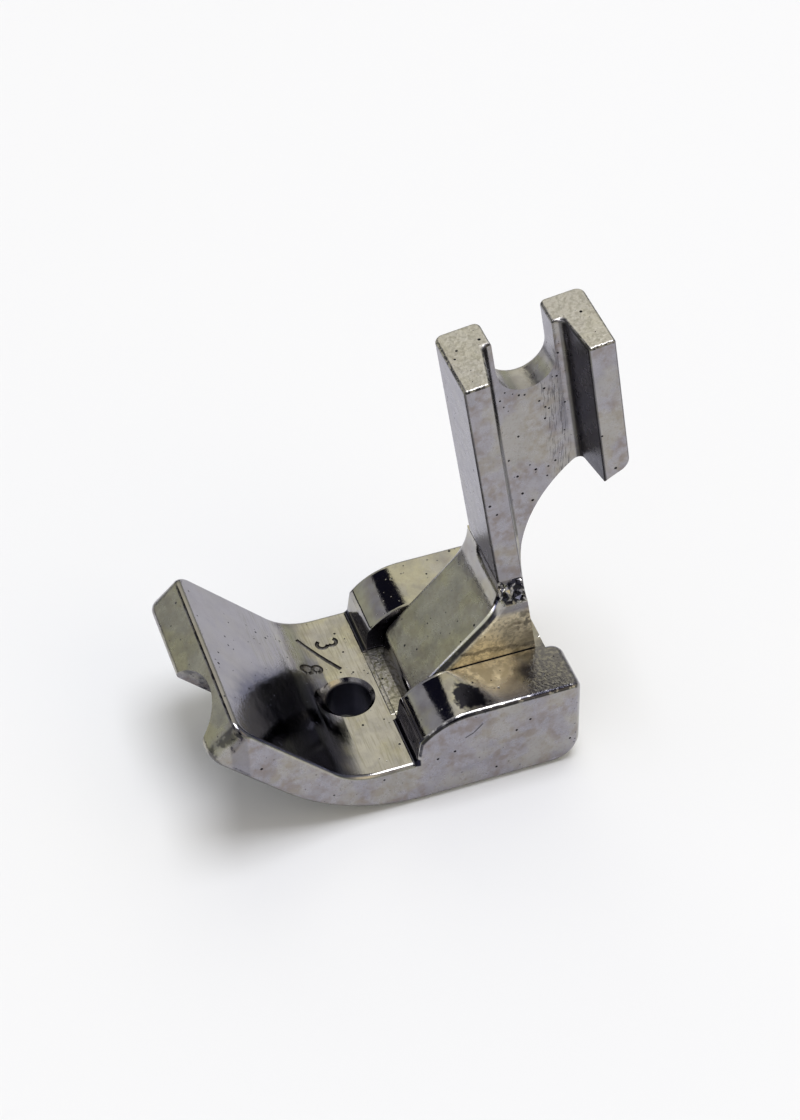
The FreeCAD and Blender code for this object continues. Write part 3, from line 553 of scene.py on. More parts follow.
def dirt_and_shade(wire, on):
    """Where dirt and painted shade lie: the bore, painted shade in inner corners and hollows,
    painted dark reflections on edges, on the web and on the shoulder's top, smudges, pits and
    scratches.
    """
    mm, wild, at, facing = on.mm, on.wild, on.at, on.facing
    rear_wall = wire.both(
        on.in_post, wire.slab(on.post_depth, 16.55, 17.6, 0.05),
        wire.between(facing["Y"], -0.5, -0.8),
    )
    # Painted shade in the creases at the pad's front corners
    root_shade = wire.both(
        wire.slab(at["Y"], 1.98, 2.34, 0.05), wire.slab(at["Z"], 3.2, 3.66, 0.05),
        wire.between(on.off_middle, 2.9, 3.0),
    )
    # Painted shade in the hollow between the far brow and the rib
    hollow_shade = wire.both(
        wire.slab(at["X"], -4.3, -2.5, 0.15), wire.slab(at["Y"], 2.2, 5.2, 0.1),
        wire.between(at["Z"], 6.3, 5.6), wire.between(facing["Z"], 0.8, 0.6),
        wire.between(at["Z"], 3.3, 3.5), wire.between(facing["X"], -0.1, 0.2),
    )
    # A painted dark reflection on the shoulder's top, with ragged edges
    shoulder_dark_reflection = wire.both(on.shoulder_top, wire.inside(wire.ragged(mm, 3.2, 0.85), SHOULDER_REFLECTION_OUTLINE, 0.14))
    smudge = wire.both(on.shoulder_top, wire.inside(wild, SMUDGE, 0.4))
    seam = wire.both(
        wire.slab(at["X"], 3.03, 3.13, 0.02), wire.slab(at["Z"], 6.40, 6.56, 0.03),
        wire.slab(at["Y"], 5.5, 10.9, 0.2),
    )
    # Painted dark reflection on the rib's rounded near edge
    rib_edge_dark_reflection = wire.both(
        on.turned, wire.between(at["X"], 2.3, 2.5), wire.slab(at["Y"], 2.2, 8.5, 0.1),
        wire.slab(at["Z"], 3.9, 10.8, 0.1), wire.between(facing["X"], 0.52, 0.62),
        wire.blend(on.broken, 0.85, 1.0),
    )
    # Painted dark reflection on the near shoulder's rounded edge, below its highlight
    shoulder_edge_dark_reflection = wire.both(
        on.turned, wire.between(at["X"], 6.2, 6.4), wire.between(at["Z"], 4.4, 4.6),
        wire.slab(at["Y"], 2.3, 12.2, 0.2), wire.between(facing["Z"], 0.2, 0.4), on.broken,
    )
    # Painted dark reflection on the toe's ridge round
    toe_ridge_dark_reflection = wire.both(
        wire.slab(facing["Y"], -0.52, -0.12, 0.06), wire.slab(at["Y"], -8.9, -7.9, 0.1),
        wire.blend(on.broken, 1.0, 0.5),
    )
    # Painted dark reflection on the toe's near corner round
    toe_corner_dark_reflection = wire.both(
        wire.slab(facing["X"], 0.35, 0.85, 0.08), wire.between(at["Y"], -6.5, -7.5),
        wire.between(wire.noise(mm, 0.8, 3.0), 0.42, 0.5),
    )
    # Painted shade over the bright reflection on the post's rounded edges
    post_edge_painted_shade = wire.both(
        wire.slab(facing["X"], 0.35, 0.9, 0.05),
        wire.between(wire.math("ABSOLUTE", facing["Y"]), 0.3, 0.5), on.in_post,
    )
    # Painted dark reflection on the rounded rim of the post's tops
    post_rim_dark_reflection = wire.both(
        wire.slab(facing["Z"], 0.30, 0.93, 0.05), wire.between(at["Z"], 26.5, 27.0), on.broken,
        wire.between(wire.noise(mm, 3.6, 3.0), 0.44, 0.54),
    )
    # Painted reflections: dark streaks where the web curves into the rear flange
    web_fillet_reflections = wire.both(
        wire.slab(on.post_depth, 15.3, 16.6, 0.25), on.in_post, on.upright,
        wire.slab(at["X"], -0.8, 0.1, 0.1),
        wire.between(wire.noise(mm, 1.0, 4.0, (1.0, 14.0, 1.2)), 0.52, 0.60),
    )
    rib_corner = wire.both(
        on.rib_side, wire.between(at["Y"], 9.3, 10.1), wire.between(at["Z"], 8.0, 8.8),
        wire.between(wire.noise(mm, 2.2, 4.0), 0.44, 0.58),
    )
    crevices = wire.both(
        wire.slab(at["X"], 2.2, 3.12, 0.04), wire.slab(at["Z"], 10.62, 12.15, 0.08),
        wire.slab(at["Y"], 8.3, 10.5, 0.1), wire.slab(facing["X"], 0.05, 0.985, 0.01),
        wire.between(wire.noise(wild, 2.0, 4.0), 0.46, 0.53),
    )
    patches = (
        (on.in_bore, 0.98), (rear_wall, 0.88), (root_shade, 1.0), (hollow_shade, 0.95), (shoulder_dark_reflection, 0.97),
        (smudge, 0.75), (seam, 1.0), (rib_edge_dark_reflection, 0.92), (shoulder_edge_dark_reflection, 0.85), (toe_ridge_dark_reflection, 0.9),
        (post_edge_painted_shade, 0.6), (post_rim_dark_reflection, 0.8), (web_fillet_reflections, 0.5), (toe_corner_dark_reflection, 0.7),
        (rib_corner, 0.6), (wire.scratch(wild, *TOOL_LINE), 0.55), (crevices, 0.95),
        (on.dots, 0.8), (on.scratches, 0.8),
    )
    return wire.either(*(wire.both(patch, share) for patch, share in patches))


def roughness(wire, on, looks):
    """Polished brows, satin sides and post, a rough gold side, and a dull bore."""
    satin = wire.either(on.upright, on.cast_skin, on.in_post)
    flat_top = wire.both(on.level, wire.between(on.facing["Z"], 0.97, 0.995))
    rough = wire.blend(satin, looks.polish, looks.satin)
    rough = wire.math("ADD", rough, wire.both(flat_top, 0.10))
    rough = wire.blend(on.gold, rough, 0.40)
    rough = wire.math("ADD", rough, wire.both(wire.between(on.mottle, 0.35, 0.75), 0.05))
    return wire.math("ADD", rough, wire.both(wire.either(on.in_bore, on.dots), 0.35), clamp=True)


def relief(wire, on):
    """Orange peel, cast skin, brushing across the valley, milling on the rib, and the marks."""
    mm = on.mm
    rough_tops = wire.either(on.pad, on.post_top, on.rear_corner)
    layers = (
        (on.fine, 0.30),
        (wire.noise(mm, 22.0, 2.0), 0.12),
        (wire.noise(mm, 0.9, 2.0), 1.1),
        (wire.both(wire.noise(mm, 1.0, 3.0, (1.2, 26.0, 26.0)), on.valley), 0.45),
        (wire.both(wire.noise(mm, 1.6, 4.0, (1.0, 1.2, 4.0)), on.rib_side), 2.4),
        (wire.both(wire.noise(mm, 2.2, 3.0), on.cast_skin), 3.2),
        (wire.both(wire.noise(mm, 6.5, 3.0), rough_tops), 2.2),
        (on.dots, -1.2),
        (on.scratches, -2.5),
    )
    height = 0.0
    for layer, tall in layers:
        height = wire.math("ADD", height, wire.both(layer, tall))
    bump = wire.node(
        "ShaderNodeBump", {"Strength": 1.0, "Distance": BUMP_HEIGHT, "Height": height},
    )
    return bump.outputs[0]


def new_metal(name):
    """A material with an empty node tree, and the tree's wiring."""
    material = bpy.data.materials.new(name)
    material.use_nodes = True
    material.node_tree.nodes.clear()
    return material, Wiring(material.node_tree)


def nickel_material():
    """Dull polished nickel with mottled tarnish, grime, painted shade, painted highlights and
    reflections, grinding marks and scratches.
    """
    looks = settings().nickel
    material, wire = new_metal("nickel_plate")
    on = Surface(wire)
    tone = gilding(wire, on, looks, tarnish(wire, on, looks))
    # A painted highlight along the rib's near edge
    tone = wire.mix(wire.both(painted_rib_highlight(wire, on), 0.85), tone, colour(looks.bright))
    # A blue-black painted reflection in the valley's near half
    tone = wire.mix(wire.both(valley_dark_reflection(wire, on), 0.88), tone, colour(looks.valley_reflection))
    # Dirt, with painted shade and painted dark reflections
    tone = wire.mix(dirt_and_shade(wire, on), tone, colour(looks.dirt_and_shade))
    shader = wire.node("ShaderNodeBsdfPrincipled", {
        "Base Color": tone, "Roughness": roughness(wire, on, looks), "Metallic": 1.0,
        "Normal": relief(wire, on), "Specular Tint": colour((0.90, 0.90, 0.95)),
    })
    wire.node("ShaderNodeOutputMaterial", {"Surface": shader.outputs[0]})
    return material


# Colour and roughness inside the figures and the pits
STAMPED_METAL = ((0.07, 0.066, 0.062), 0.5)
PIT_METAL = ((0.03, 0.03, 0.035), 0.6)


def dark_material(name, tone, rough):
    """The unpolished metal inside a pit or a stamped stroke."""
    material, wire = new_metal(name)
    place = wire.node("ShaderNodeTexCoord").outputs["Object"]
    speckle = wire.between(wire.noise(place, 6 / MM, 2.0), 0.35, 0.65)
    shader = wire.node("ShaderNodeBsdfPrincipled", {
        "Base Color": wire.mix(speckle, colour(tone), colour(tone, 1.8)), "Roughness": rough,
        "Metallic": 1.0,
    })
    wire.node("ShaderNodeOutputMaterial", {"Surface": shader.outputs[0]})
    return material


def true_flats(shell, sizes):
    """The faces that lie on a wide flat, each with the flat's normal.

    A flat is a group of faces in one plane that is wide both ways, which the narrow facets of a
    round are not.
    """
    found = {}
    seen = set()
    flat = math.cos(sizes.flat_angle)
    for seed in shell.faces:
        if seed.index in seen:
            continue
        group, queue = [], [seed]
        seen.add(seed.index)
        while queue:
            face = queue.pop()
            group.append(face)
            for edge in face.edges:
                for other in edge.link_faces:
                    if other.index not in seen and other.normal.dot(seed.normal) > flat:
                        seen.add(other.index)
                        queue.append(other)
        corners = [vertex.co for face in group for vertex in face.verts]
        spread = [max(co[i] for co in corners) - min(co[i] for co in corners) for i in range(3)]
        area = sum(face.calc_area() for face in group)
        if area / Vector(spread).length > sizes.flat_width:
            total = sum((face.normal * face.calc_area() for face in group), Vector())
            found.update((face.index, total.normalized()) for face in group)
    return found


def fans(vertex, crease):
    """The faces round a vertex, in groups that no crease parts."""
    left = list(vertex.link_faces)
    while left:
        queue = [left.pop()]
        fan = []
        while queue:
            face = queue.pop()
            fan.append(face)
            for edge in face.edges:
                if vertex not in edge.verts:
                    continue
                for other in edge.link_faces:
                    if other in left and face.normal.dot(other.normal) > crease:
                        left.remove(other)
                        queue.append(other)
        yield fan


def shade(mesh, sizes):
    """Give flats their own normal right up to their edges, and let rounds run smoothly into them.

    The rough ledge keeps its facets.
    """
    shell = bmesh.new()
    shell.from_mesh(mesh)
    flats = true_flats(shell, sizes)
    flats.update((face.index, face.normal.copy()) for face in shell.faces if on_ledge(face))
    crease = math.cos(sizes.crease_angle)
    corner = {}
    for vertex in shell.verts:
        for fan in fans(vertex, crease):
            level = [flats[face.index] for face in fan if face.index in flats]
            if not level:
                level = [
                    face.normal * loop.calc_angle()
                    for face in fan for loop in face.loops if loop.vert is vertex
                ]
            shared = sum(level, Vector()).normalized()
            for face in fan:
                corner[face.index, vertex.index] = flats.get(face.index, shared)
    shell.free()
    mesh.shade_smooth()
    mesh.normals_split_custom_set([
        corner[face.index, mesh.loops[loop].vertex_index]
        for face in mesh.polygons for loop in face.loop_indices
    ])


# How far a corner is moved into its own face to look up the old face under it
INWARD = 0.02
# A mixed normal shorter than this comes from corners that face apart
SHORTEST_MIX = 0.5


def carry_normals(mesh, shaded):
    """Give a cut mesh the casting's earlier shading; the cuts are smooth by themselves."""
    tree = BVHTree.FromPolygons(
        [vertex.co for vertex in shaded.vertices], [face.vertices for face in shaded.polygons],
    )
    known = [normal.vector.copy() for normal in shaded.corner_normals]
    cuts = {}
    for face in mesh.polygons:
        if face.material_index:
            for index in face.vertices:
                cuts[index] = cuts.get(index, Vector()) + face.normal * face.area
    normals = []
    for face in mesh.polygons:
        for index in face.vertices:
            if face.material_index:
                normals.append(cuts[index].normalized())
                continue
            corner = mesh.vertices[index].co.lerp(face.center, INWARD)
            found, _, number, _ = tree.find_nearest(corner)
            source = shaded.polygons[number]
            shares = poly_3d_calc([shaded.vertices[end].co for end in source.vertices], found)
            parts = [known[loop] * share for loop, share in zip(source.loop_indices, shares)]
            mixed = sum(parts, Vector())
            long_enough = mixed.length > SHORTEST_MIX
            normals.append(mixed.normalized() if long_enough else source.normal.copy())
    mesh.shade_smooth()
    mesh.normals_split_custom_set(normals)


LEDGE_LOW = spot(3.07, 0, 10.60)
LEDGE_HIGH = spot(2.44, 0, 12.10)
LEDGE_ALONG = Vector((0, 1, 0))
LEDGE_UP = Vector((LEDGE_HIGH.x - LEDGE_LOW.x, 0, LEDGE_HIGH.z - LEDGE_LOW.z)).normalized()
LEDGE_OUT = LEDGE_ALONG.cross(LEDGE_UP).normalized()
# How far from the ledge's plane its faces may lie, and how well they and flat ones face its way
LEDGE_NEAR = 0.2 * MM
LEDGE_TURN = 0.3
LEDGE_FLAT = 0.999
# Points nearer than this to a cut are taken into it
CUT_NEAR = 0.002 * MM
# In steps: how far a lump may slip sideways, and the shortest edge beside a point that may move
SLIP = 0.45
SHORT = 0.3
# The noise of the lumps' depth, of the finer lumps on them and of their slips, read at two heights
LUMPS, FINE_LUMPS, SLIPS = 0.9, 2.3, 1.7
SLIP_HEIGHTS = (20.3, 41.7)


def on_ledge(face):
    """Whether a face belongs to the steep ledge on the post's open side."""
    middle = face.calc_center_median()
    rise = LEDGE_LOW.z < middle.z < LEDGE_HIGH.z
    near = abs((middle - LEDGE_LOW).dot(LEDGE_OUT)) < LEDGE_NEAR
    return rise and near and face.normal.dot(LEDGE_OUT) > LEDGE_TURN


def flat_ledge(shell):
    """The ledge's flat faces, in the mesh's own order."""
    level = [face for face in shell.faces if face.normal.dot(LEDGE_OUT) > LEDGE_FLAT]
    return [face for face in level if on_ledge(face)]


def may_move(corner, patch, shortest):
    """Whether a point lies inside the ledge and clear of its border."""
    inside = all(face in patch for face in corner.link_faces)
    return inside and min(edge.calc_length() for edge in corner.link_edges) > shortest


def roughen_ledge(mesh, sizes):
    """Cut the ledge into a loose grid and push its inner points in.

    Every list here keeps the mesh's own order, so that each run gives the same mesh.
    """
    shell = bmesh.new()
    shell.from_mesh(mesh)
    patch = flat_ledge(shell)
    if not patch:
        raise RuntimeError("the ledge was not found")
    along = [vertex.co.y for face in patch for vertex in face.verts]
    slope = (LEDGE_HIGH - LEDGE_LOW).length
    cuts = [(Vector((0, y, 0)), LEDGE_ALONG) for y in spaced(min(along), max(along), sizes.step)]
    cuts += [(LEDGE_LOW + LEDGE_UP * rise, LEDGE_UP) for rise in spaced(0, slope, sizes.step)]
    for place, across in cuts:
        patch = flat_ledge(shell)
        edges = dict.fromkeys(edge for face in patch for edge in face.edges)
        corners = dict.fromkeys(vertex for face in patch for vertex in face.verts)
        bmesh.ops.bisect_plane(
            shell, geom=[*corners, *edges, *patch], plane_co=place, plane_no=across, dist=CUT_NEAR,
        )
    patch = flat_ledge(shell)
    corners = dict.fromkeys(vertex for face in patch for vertex in face.verts)
    inner = [corner for corner in corners if may_move(corner, patch, SHORT * sizes.step)]
    bmesh.ops.triangulate(shell, faces=patch)
    for vertex in inner:
        where = vertex.co / sizes.step * LUMPS
        depth = 0.5 + 0.5 * noise.noise(where) + 0.35 * noise.noise(where * FINE_LUMPS)
        vertex.co -= LEDGE_OUT * sizes.depth * min(max(depth, 0.0), 1.0)
        sideways, up = (
            noise.noise(where * SLIPS + Vector((0, 0, height))) for height in SLIP_HEIGHTS
        )
        vertex.co += (LEDGE_ALONG * sideways + LEDGE_UP * up) * sizes.step * SLIP
    shell.to_mesh(mesh)
    shell.free()


def spaced(low, high, step):
    """Places between two limits, about a step apart."""
    count = max(1, round((high - low) / step))
    return [low + (high - low) * number / count for number in range(1, count)]


class Tree:
    """A Geometry Nodes tree with named inputs, and the mesh that it makes."""

    def __init__(self, name, inputs):
        self.group = bpy.data.node_groups.new(name, "GeometryNodeTree")
        sockets = self.group.interface
        sockets.new_socket(name="Geometry", in_out="OUTPUT", socket_type="NodeSocketGeometry")
        sockets.new_socket(name="Geometry", in_out="INPUT", socket_type="NodeSocketGeometry")
        self.names = {}
        for label, kind in inputs.items():
            socket = sockets.new_socket(name=label, in_out="INPUT", socket_type=kind)
            self.names[label] = socket.identifier
        self.entry = self.group.nodes.new("NodeGroupInput").outputs
        self.exit = self.group.nodes.new("NodeGroupOutput").inputs[0]
        self.wire = Wiring(self.group)

    def close(self, geometry, material):
        """End the tree in real geometry with its material."""
        real = self.wire.node("GeometryNodeRealizeInstances", {0: geometry}).outputs[0]
        finish = self.wire.node("GeometryNodeSetMaterial", {"Geometry": real})
        finish.inputs["Material"].default_value = material
        self.wire.feed(finish.outputs[0], self.exit)

    def run(self, source, values):
        """The tree's result on an object, as a plain mesh."""
        step = source.modifiers.new(self.group.name, "NODES")
        step.node_group = self.group
        for label, value in values.items():
            step[self.names[label]] = value
        graph = bpy.context.evaluated_depsgraph_get()
        mesh = bpy.data.meshes.new_from_object(source.evaluated_get(graph))
        source.modifiers.remove(step)
        return mesh


def cut(piece, cutters):
    """Take the cutters out of a piece, and keep their material on the cut faces."""
    tool = bpy.data.objects.new("cutters", cutters)
    bpy.context.scene.collection.objects.link(tool)
    step = piece.modifiers.new("cut", "BOOLEAN")
    step.operation = "DIFFERENCE"
    step.solver = "EXACT"
    step.use_self = True
    step.material_mode = "TRANSFER"
    step.object = tool
    graph = bpy.context.evaluated_depsgraph_get()
    mesh = bpy.data.meshes.new_from_object(piece.evaluated_get(graph))
    piece.modifiers.remove(step)
    piece.data = mesh
    bpy.data.objects.remove(tool)


# How thickly the faces are pitted, and the cosines of a square and of a sloping face
WEB_PITS, SIDE_PITS, TOP_PITS, SLOPE_PITS = 1.0, 0.13, 0.45, 0.2
SQUARE = 0.99
SLOPING = 0.6


def pit_share(face):
    """How thickly a face is pitted: the web most, tops, slopes and sides less, the rest not."""
    x, _, z = (face.center - spot(0, 0, 0)) / MM
    if abs(face.normal.x) > SQUARE:
        on_web = face.normal.x > 0 and -1 < x < 0 and 12 < z < 27
        return WEB_PITS if on_web else SIDE_PITS
    if face.normal.z > SQUARE:
        return TOP_PITS
    return SLOPE_PITS if abs(face.normal.y) > SLOPING and face.normal.z > SLOPING else 0.0


def pit_tree(material):
    """Small round cutters, scattered over the casting by the faces' share of pits."""
    tree = Tree("pits", {
        "Density": "NodeSocketFloat", "Smallest": "NodeSocketFloat", "Largest": "NodeSocketFloat",
        "Seed": "NodeSocketInt",
    })
    wire = tree.wire
    share = wire.node("GeometryNodeInputNamedAttribute", {"Name": "pit_share"}, data_type="FLOAT")
    points = wire.node("GeometryNodeDistributePointsOnFaces", {
        "Mesh": tree.entry["Geometry"], "Seed": tree.entry["Seed"],
        "Density": wire.math("MULTIPLY", tree.entry["Density"], share.outputs[0]),
    })
    ball = wire.node("GeometryNodeMeshIcoSphere", {"Radius": 1.0, "Subdivisions": 2})
    size = wire.node("FunctionNodeRandomValue", data_type="FLOAT")
    wire.feed(tree.entry["Smallest"], size.inputs[2])
    wire.feed(tree.entry["Largest"], size.inputs[3])
    wire.feed(tree.entry["Seed"], size.inputs["Seed"])
    placed = wire.node("GeometryNodeInstanceOnPoints", {
        "Points": points.outputs["Points"], "Instance": ball.outputs[0], "Scale": size.outputs[1],
    })
    tree.close(placed.outputs[0], material)
    return tree


# Strokes are drawn over the casting, dropped on it in short steps and sunk into it
STROKE_HEIGHT = 6.0
STROKE_STEP = 0.06 * MM
STROKE_SINK = 0.023 * MM
LONGEST_DROP = 0.1


def stroke_tree(material):
    """Strokes laid down on the casting and given a round section."""
    tree = Tree("strokes", {"Casting": "NodeSocketObject", "Radius": "NodeSocketFloat"})
    wire = tree.wire
    fine = wire.node("GeometryNodeResampleCurve", {"Curve": tree.entry["Geometry"]}, mode="LENGTH")
    wire.feed(STROKE_STEP, fine.inputs["Length"])
    target = wire.node("GeometryNodeObjectInfo", {0: tree.entry["Casting"]})
    drop = wire.node("GeometryNodeRaycast", {
        0: target.outputs["Geometry"], "Ray Direction": (0.0, 0.0, -1.0),
        "Ray Length": LONGEST_DROP,
    })
    laid = wire.node("GeometryNodeSetPosition", {
        "Geometry": fine.outputs[0], "Selection": drop.outputs["Is Hit"],
        "Position": drop.outputs["Hit Position"], "Offset": (0.0, 0.0, -STROKE_SINK),
    })
    section = wire.node(
        "GeometryNodeCurvePrimitiveCircle", {"Radius": tree.entry["Radius"], "Resolution": 10},
    )
    tube = wire.node("GeometryNodeCurveToMesh", {
        "Curve": laid.outputs[0], "Profile Curve": section.outputs[0], "Fill Caps": True,
    })
    tree.close(tube.outputs[0], material)
    return tree


def arc(across, up, radius, start, end):
    """Points on an arc between two angles in degrees, about 20 degrees apart."""
    count = round(abs(end - start) / 20)
    angles = [math.radians(start + (end - start) * number / count) for number in range(count + 1)]
    return [(across + radius * math.cos(angle), up + radius * math.sin(angle)) for angle in angles]


# The figures' strokes in figure heights, to the right and up when read from the toe; their places
THREE = [arc(0.29, 0.75, 0.23, -60, 150), arc(0.29, 0.27, 0.27, -150, 70)]
EIGHT = [arc(0.29, 0.76, 0.22, 0, 345), arc(0.29, 0.27, 0.27, 0, 345)]
THREE_AT = (-4.80, -0.50)
EIGHT_AT = (-2.80, -2.10)
SLASH = [(-5.1, -1.62), (-2.08, 0.28)]


def strokes(name, lines):
    """A curve object from straight strokes, given in millimetres from the needle's line."""
    data = bpy.data.curves.new(name, "CURVE")
    data.dimensions = "3D"
    for line in lines:
        spline = data.splines.new("POLY")
        spline.points.add(len(line) - 1)
        for point, (x, y) in zip(spline.points, line):
            point.co = (*spot(x, y, STROKE_HEIGHT), 1.0)
    drawn = bpy.data.objects.new(name, data)
    bpy.context.scene.collection.objects.link(drawn)
    return drawn


class FOOT_OT_casting(bpy.types.Operator):
    """Clean a copy of the casting and roughen its ledge"""

    bl_idname = "foot.casting"
    bl_label = "Casting"

    def execute(self, context):
        sizes = settings().casting
        mesh = frame["nodes"][NODE].data.copy()
        mesh.name = "casting"
        mesh.materials.clear()
        shell = bmesh.new()
        shell.from_mesh(mesh)
        bmesh.ops.remove_doubles(shell, verts=shell.verts, dist=sizes.weld)
        bmesh.ops.dissolve_degenerate(shell, dist=sizes.weld, edges=shell.edges)
        bmesh.ops.recalc_face_normals(shell, faces=shell.faces)
        shell.to_mesh(mesh)
        shell.free()
        roughen_ledge(mesh, settings().ledge)
        piece = bpy.data.objects.new("foot_casting", mesh)
        context.scene.collection.objects.link(piece)
        mesh.materials.append(nickel_material())
        shade(mesh, sizes)
        mesh.copy().name = SHADED
        return {"FINISHED"}


class FOOT_OT_figures(bpy.types.Operator):
    """Stamp the cord's size into the valley"""

    bl_idname = "foot.figures"
    bl_label = "Figures"

    def execute(self, context):
        sizes = settings().figures
        tall = sizes.height / MM
        lines = []
        for (left, low), figure in ((THREE_AT, THREE), (EIGHT_AT, EIGHT)):
            lines += [[(left + x * tall, low + y * tall) for x, y in line] for line in figure]
        lines.append(SLASH)
        drawn = strokes("figures", lines)
        piece = bpy.data.objects["foot_casting"]
        stamped = dark_material("stamped_metal", *STAMPED_METAL)
        values = {"Casting": piece, "Radius": sizes.stroke}
        cut(piece, stroke_tree(stamped).run(drawn, values))
        bpy.data.objects.remove(drawn)
        return {"FINISHED"}


class FOOT_OT_pits(bpy.types.Operator):
    """Open the casting's small pits"""

    bl_idname = "foot.pits"
    bl_label = "Pits"

    def execute(self, context):
        sizes = settings().pits
        piece = bpy.data.objects["foot_casting"]
        mesh = piece.data
        share = mesh.attributes.new("pit_share", "FLOAT", "FACE")
        for face in mesh.polygons:
            share.data[face.index].value = pit_share(face)
        values = {
            "Density": sizes.density, "Smallest": sizes.smallest, "Largest": sizes.largest,
            "Seed": sizes.seed,
        }
        cutters = pit_tree(dark_material("pit_metal", *PIT_METAL)).run(piece, values)
        mesh.attributes.remove(mesh.attributes["pit_share"])
        cut(piece, cutters)
        return {"FINISHED"}


class FOOT_OT_finish(bpy.types.Operator):
    """Shade the finished casting and put it in place of the plain one"""

    bl_idname = "foot.finish"
    bl_label = "Finish"

    def execute(self, context):
        piece = bpy.data.objects["foot_casting"]
        shaded = bpy.data.meshes[SHADED]
        carry_normals(piece.data, shaded)
        bpy.data.meshes.remove(shaded)
        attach(piece, BODY)
        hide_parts(NODE)
        return {"FINISHED"}


# The room's light: the skyline, the sky over it, warm patches and dark gaps. A patch has a
# direction, the angles in degrees where it is whole and where it ends, and a colour.
SKYLINE = (0.60, 0.61, 0.48)
UPPER_SKY = (0.46, 0.46, 0.50)
WARM_PATCHES = (
    ((-0.677, 0.20, 0.70), 12, 36, (1.09, 1.05, 0.86)),
    ((0.60, 0.55, 0.60), 12, 26, (1.25, 1.10, 0.80)),
)
DARK_GAPS = (((0.76, -0.12, 0.64), 9, 17), ((-0.677, -0.262, 0.688), 11.5, 13.0))
GAP_COLOUR = (0.010, 0.010, 0.022)


def sky():
    """A pale room: warm light beyond the post, a greenish skyline and two dark gaps."""
    world = bpy.data.worlds.new("room")
    world.use_nodes = True
    world.node_tree.nodes.clear()
    wire = Wiring(world.node_tree)
    ray = wire.node("ShaderNodeTexCoord").outputs["Generated"]
    rise = wire.node("ShaderNodeSeparateXYZ", {0: ray}).outputs["Z"]
    seen = wire.mix(wire.between(rise, 0.24, 0.50), colour(SKYLINE), colour(UPPER_SKY))
    for direction, core, edge, tint in WARM_PATCHES:
        seen = wire.mix(wire.cone(ray, direction, core, edge), seen, colour(tint))
    gaps = wire.either(*(wire.cone(ray, *gap) for gap in DARK_GAPS))
    seen = wire.mix(gaps, seen, colour(GAP_COLOUR))
    background = wire.node("ShaderNodeBackground", {"Color": seen, "Strength": 1.0})
    wire.node("ShaderNodeOutputWorld", {"Surface": background.outputs[0]})
    return world


# Roughness of the boards, and how little the floor shines
MATT = 0.9
FLOOR_SHEEN = 0.2


def board(name, finish, corners, tone):
    """A flat four-cornered board of one matt colour: its object and its shader."""
    mesh = bpy.data.meshes.new(name)
    mesh.from_pydata(corners, [], [(0, 1, 2, 3)])
    made = bpy.data.objects.new(name, mesh)
    bpy.context.scene.collection.objects.link(made)
    material = bpy.data.materials.new(finish)
    material.use_nodes = True
    shader = material.node_tree.nodes["Principled BSDF"]
    shader.inputs["Base Color"].default_value = colour(tone)
    shader.inputs["Roughness"].default_value = MATT
    mesh.materials.append(material)
    return made, shader


def card(name, direction, distance, width, height, tone):
    """An upright card on the floor that only the metal sees."""
    toward = Vector((*direction, 0)).normalized()
    across = Vector((-toward.y, toward.x, 0)) * width / 2
    foot = toward * distance
    top = Vector((0, 0, height))
    corners = [foot - across, foot + across, foot + across + top, foot - across + top]
    made, _ = board(name, name, corners, tone)
    made.visible_camera = False
    made.visible_shadow = False
    made.visible_diffuse = False


def floor():
    """The pale floor that the foot stands on."""
    sizes = settings().stage
    reach = sizes.floor_reach
    corners = [(-reach, -reach, 0), (reach, -reach, 0), (reach, reach, 0), (-reach, reach, 0)]
    plane, shader = board("floor", "pale_floor", corners, sizes.floor_colour)
    shader.inputs["Specular IOR Level"].default_value = FLOOR_SHEEN


def lamp(name, direction, distance, width, watts, tint):
    """A square soft light that looks at the foot."""
    data = bpy.data.lights.new(name, "AREA")
    data.size = width
    data.energy = watts
    data.color = tint
    light = bpy.data.objects.new(name, data)
    toward = Vector(direction).normalized()
    light.location = toward * distance
    light.rotation_euler = toward.to_track_quat("Z", "Y").to_euler()
    bpy.context.scene.collection.objects.link(light)


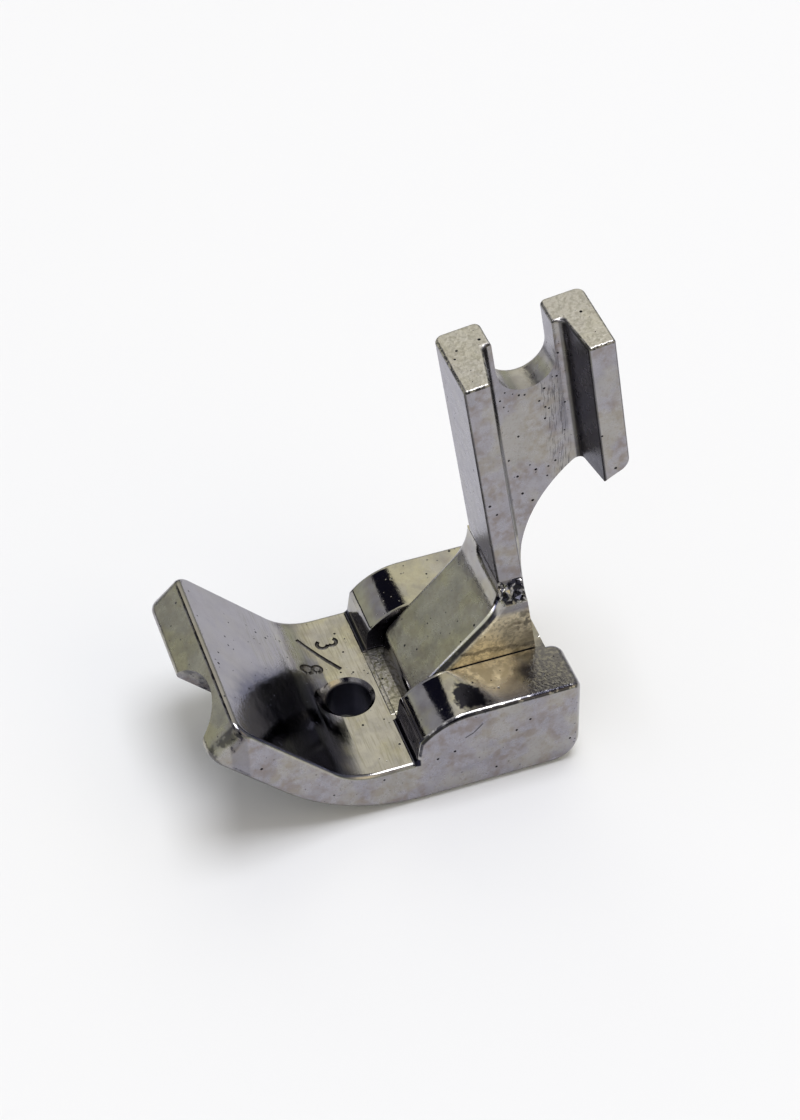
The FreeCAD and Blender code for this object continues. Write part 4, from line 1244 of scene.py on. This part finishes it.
def camera():
    """The camera at the picture's angle."""
    sizes = settings().stage
    data = bpy.data.cameras.new("camera")
    data.lens = sizes.lens
    data.sensor_width = 36.0
    data.clip_start = 0.01
    data.clip_end = 20.0
    level = math.cos(sizes.elevation)
    back = Vector((
        math.sin(sizes.azimuth) * level, -math.cos(sizes.azimuth) * level,
        math.sin(sizes.elevation),
    ))
    turn = back.to_track_quat("Z", "Y").to_matrix() @ Matrix.Rotation(sizes.roll, 3, "Z")
    view = bpy.data.objects.new("camera", data)
    place = Vector(sizes.aim) + back * sizes.distance
    view.matrix_world = Matrix.Translation(place) @ turn.to_4x4()
    bpy.context.scene.collection.objects.link(view)
    bpy.context.scene.camera = view


class FOOT_OT_stage(bpy.types.Operator):
    """Lay the floor, light it and set the camera"""

    bl_idname = "foot.stage"
    bl_label = "Stage"

    def execute(self, context):
        scene = context.scene
        scene.view_settings.view_transform = "Standard"
        scene.world = sky()
        floor()
        card(
            "dark_card", direction=(-0.68, -0.73), distance=0.045, width=0.16, height=0.008,
            tone=(0.006, 0.006, 0.02),
        )
        card(
            "grey_card", direction=(-0.68, 0.73), distance=0.120, width=0.30, height=0.020,
            tone=(0.80, 0.78, 0.86),
        )
        lamp(
            "overhead", direction=(0.02, 0.12, 1.0), distance=1.2, width=0.60, watts=9.0,
            tint=(0.97, 0.98, 1.0),
        )
        camera()
        return {"FINISHED"}


class FOOT_PT_panel(bpy.types.Panel):
    """Lists the foot's steps."""

    bl_idname = "FOOT_PT_panel"
    bl_label = "Piping Presser Foot"
    bl_space_type = "VIEW_3D"
    bl_region_type = "UI"
    bl_category = "Foot"

    def draw(self, context):
        for step in STEPS:
            self.layout.operator(step.bl_idname)


STEPS = (FOOT_OT_casting, FOOT_OT_figures, FOOT_OT_pits, FOOT_OT_finish, FOOT_OT_stage)
CLASSES = (
    CastingSizes, FigureSizes, PitSizes, LedgeSizes, NickelLooks, StageSizes, FootSettings, *STEPS,
    FOOT_PT_panel,
)


def register():
    for item in CLASSES:
        bpy.utils.register_class(item)
    bpy.types.Scene.piping_foot = bpy.props.PointerProperty(type=FootSettings)


def unregister():
    del bpy.types.Scene.piping_foot
    for item in reversed(CLASSES):
        bpy.utils.unregister_class(item)


def main():
    """Make every piece in order."""
    register()
    bpy.ops.foot.casting()
    bpy.ops.foot.figures()
    bpy.ops.foot.pits()
    bpy.ops.foot.finish()
    bpy.ops.foot.stage()


if __name__ == "__main__":
    main()
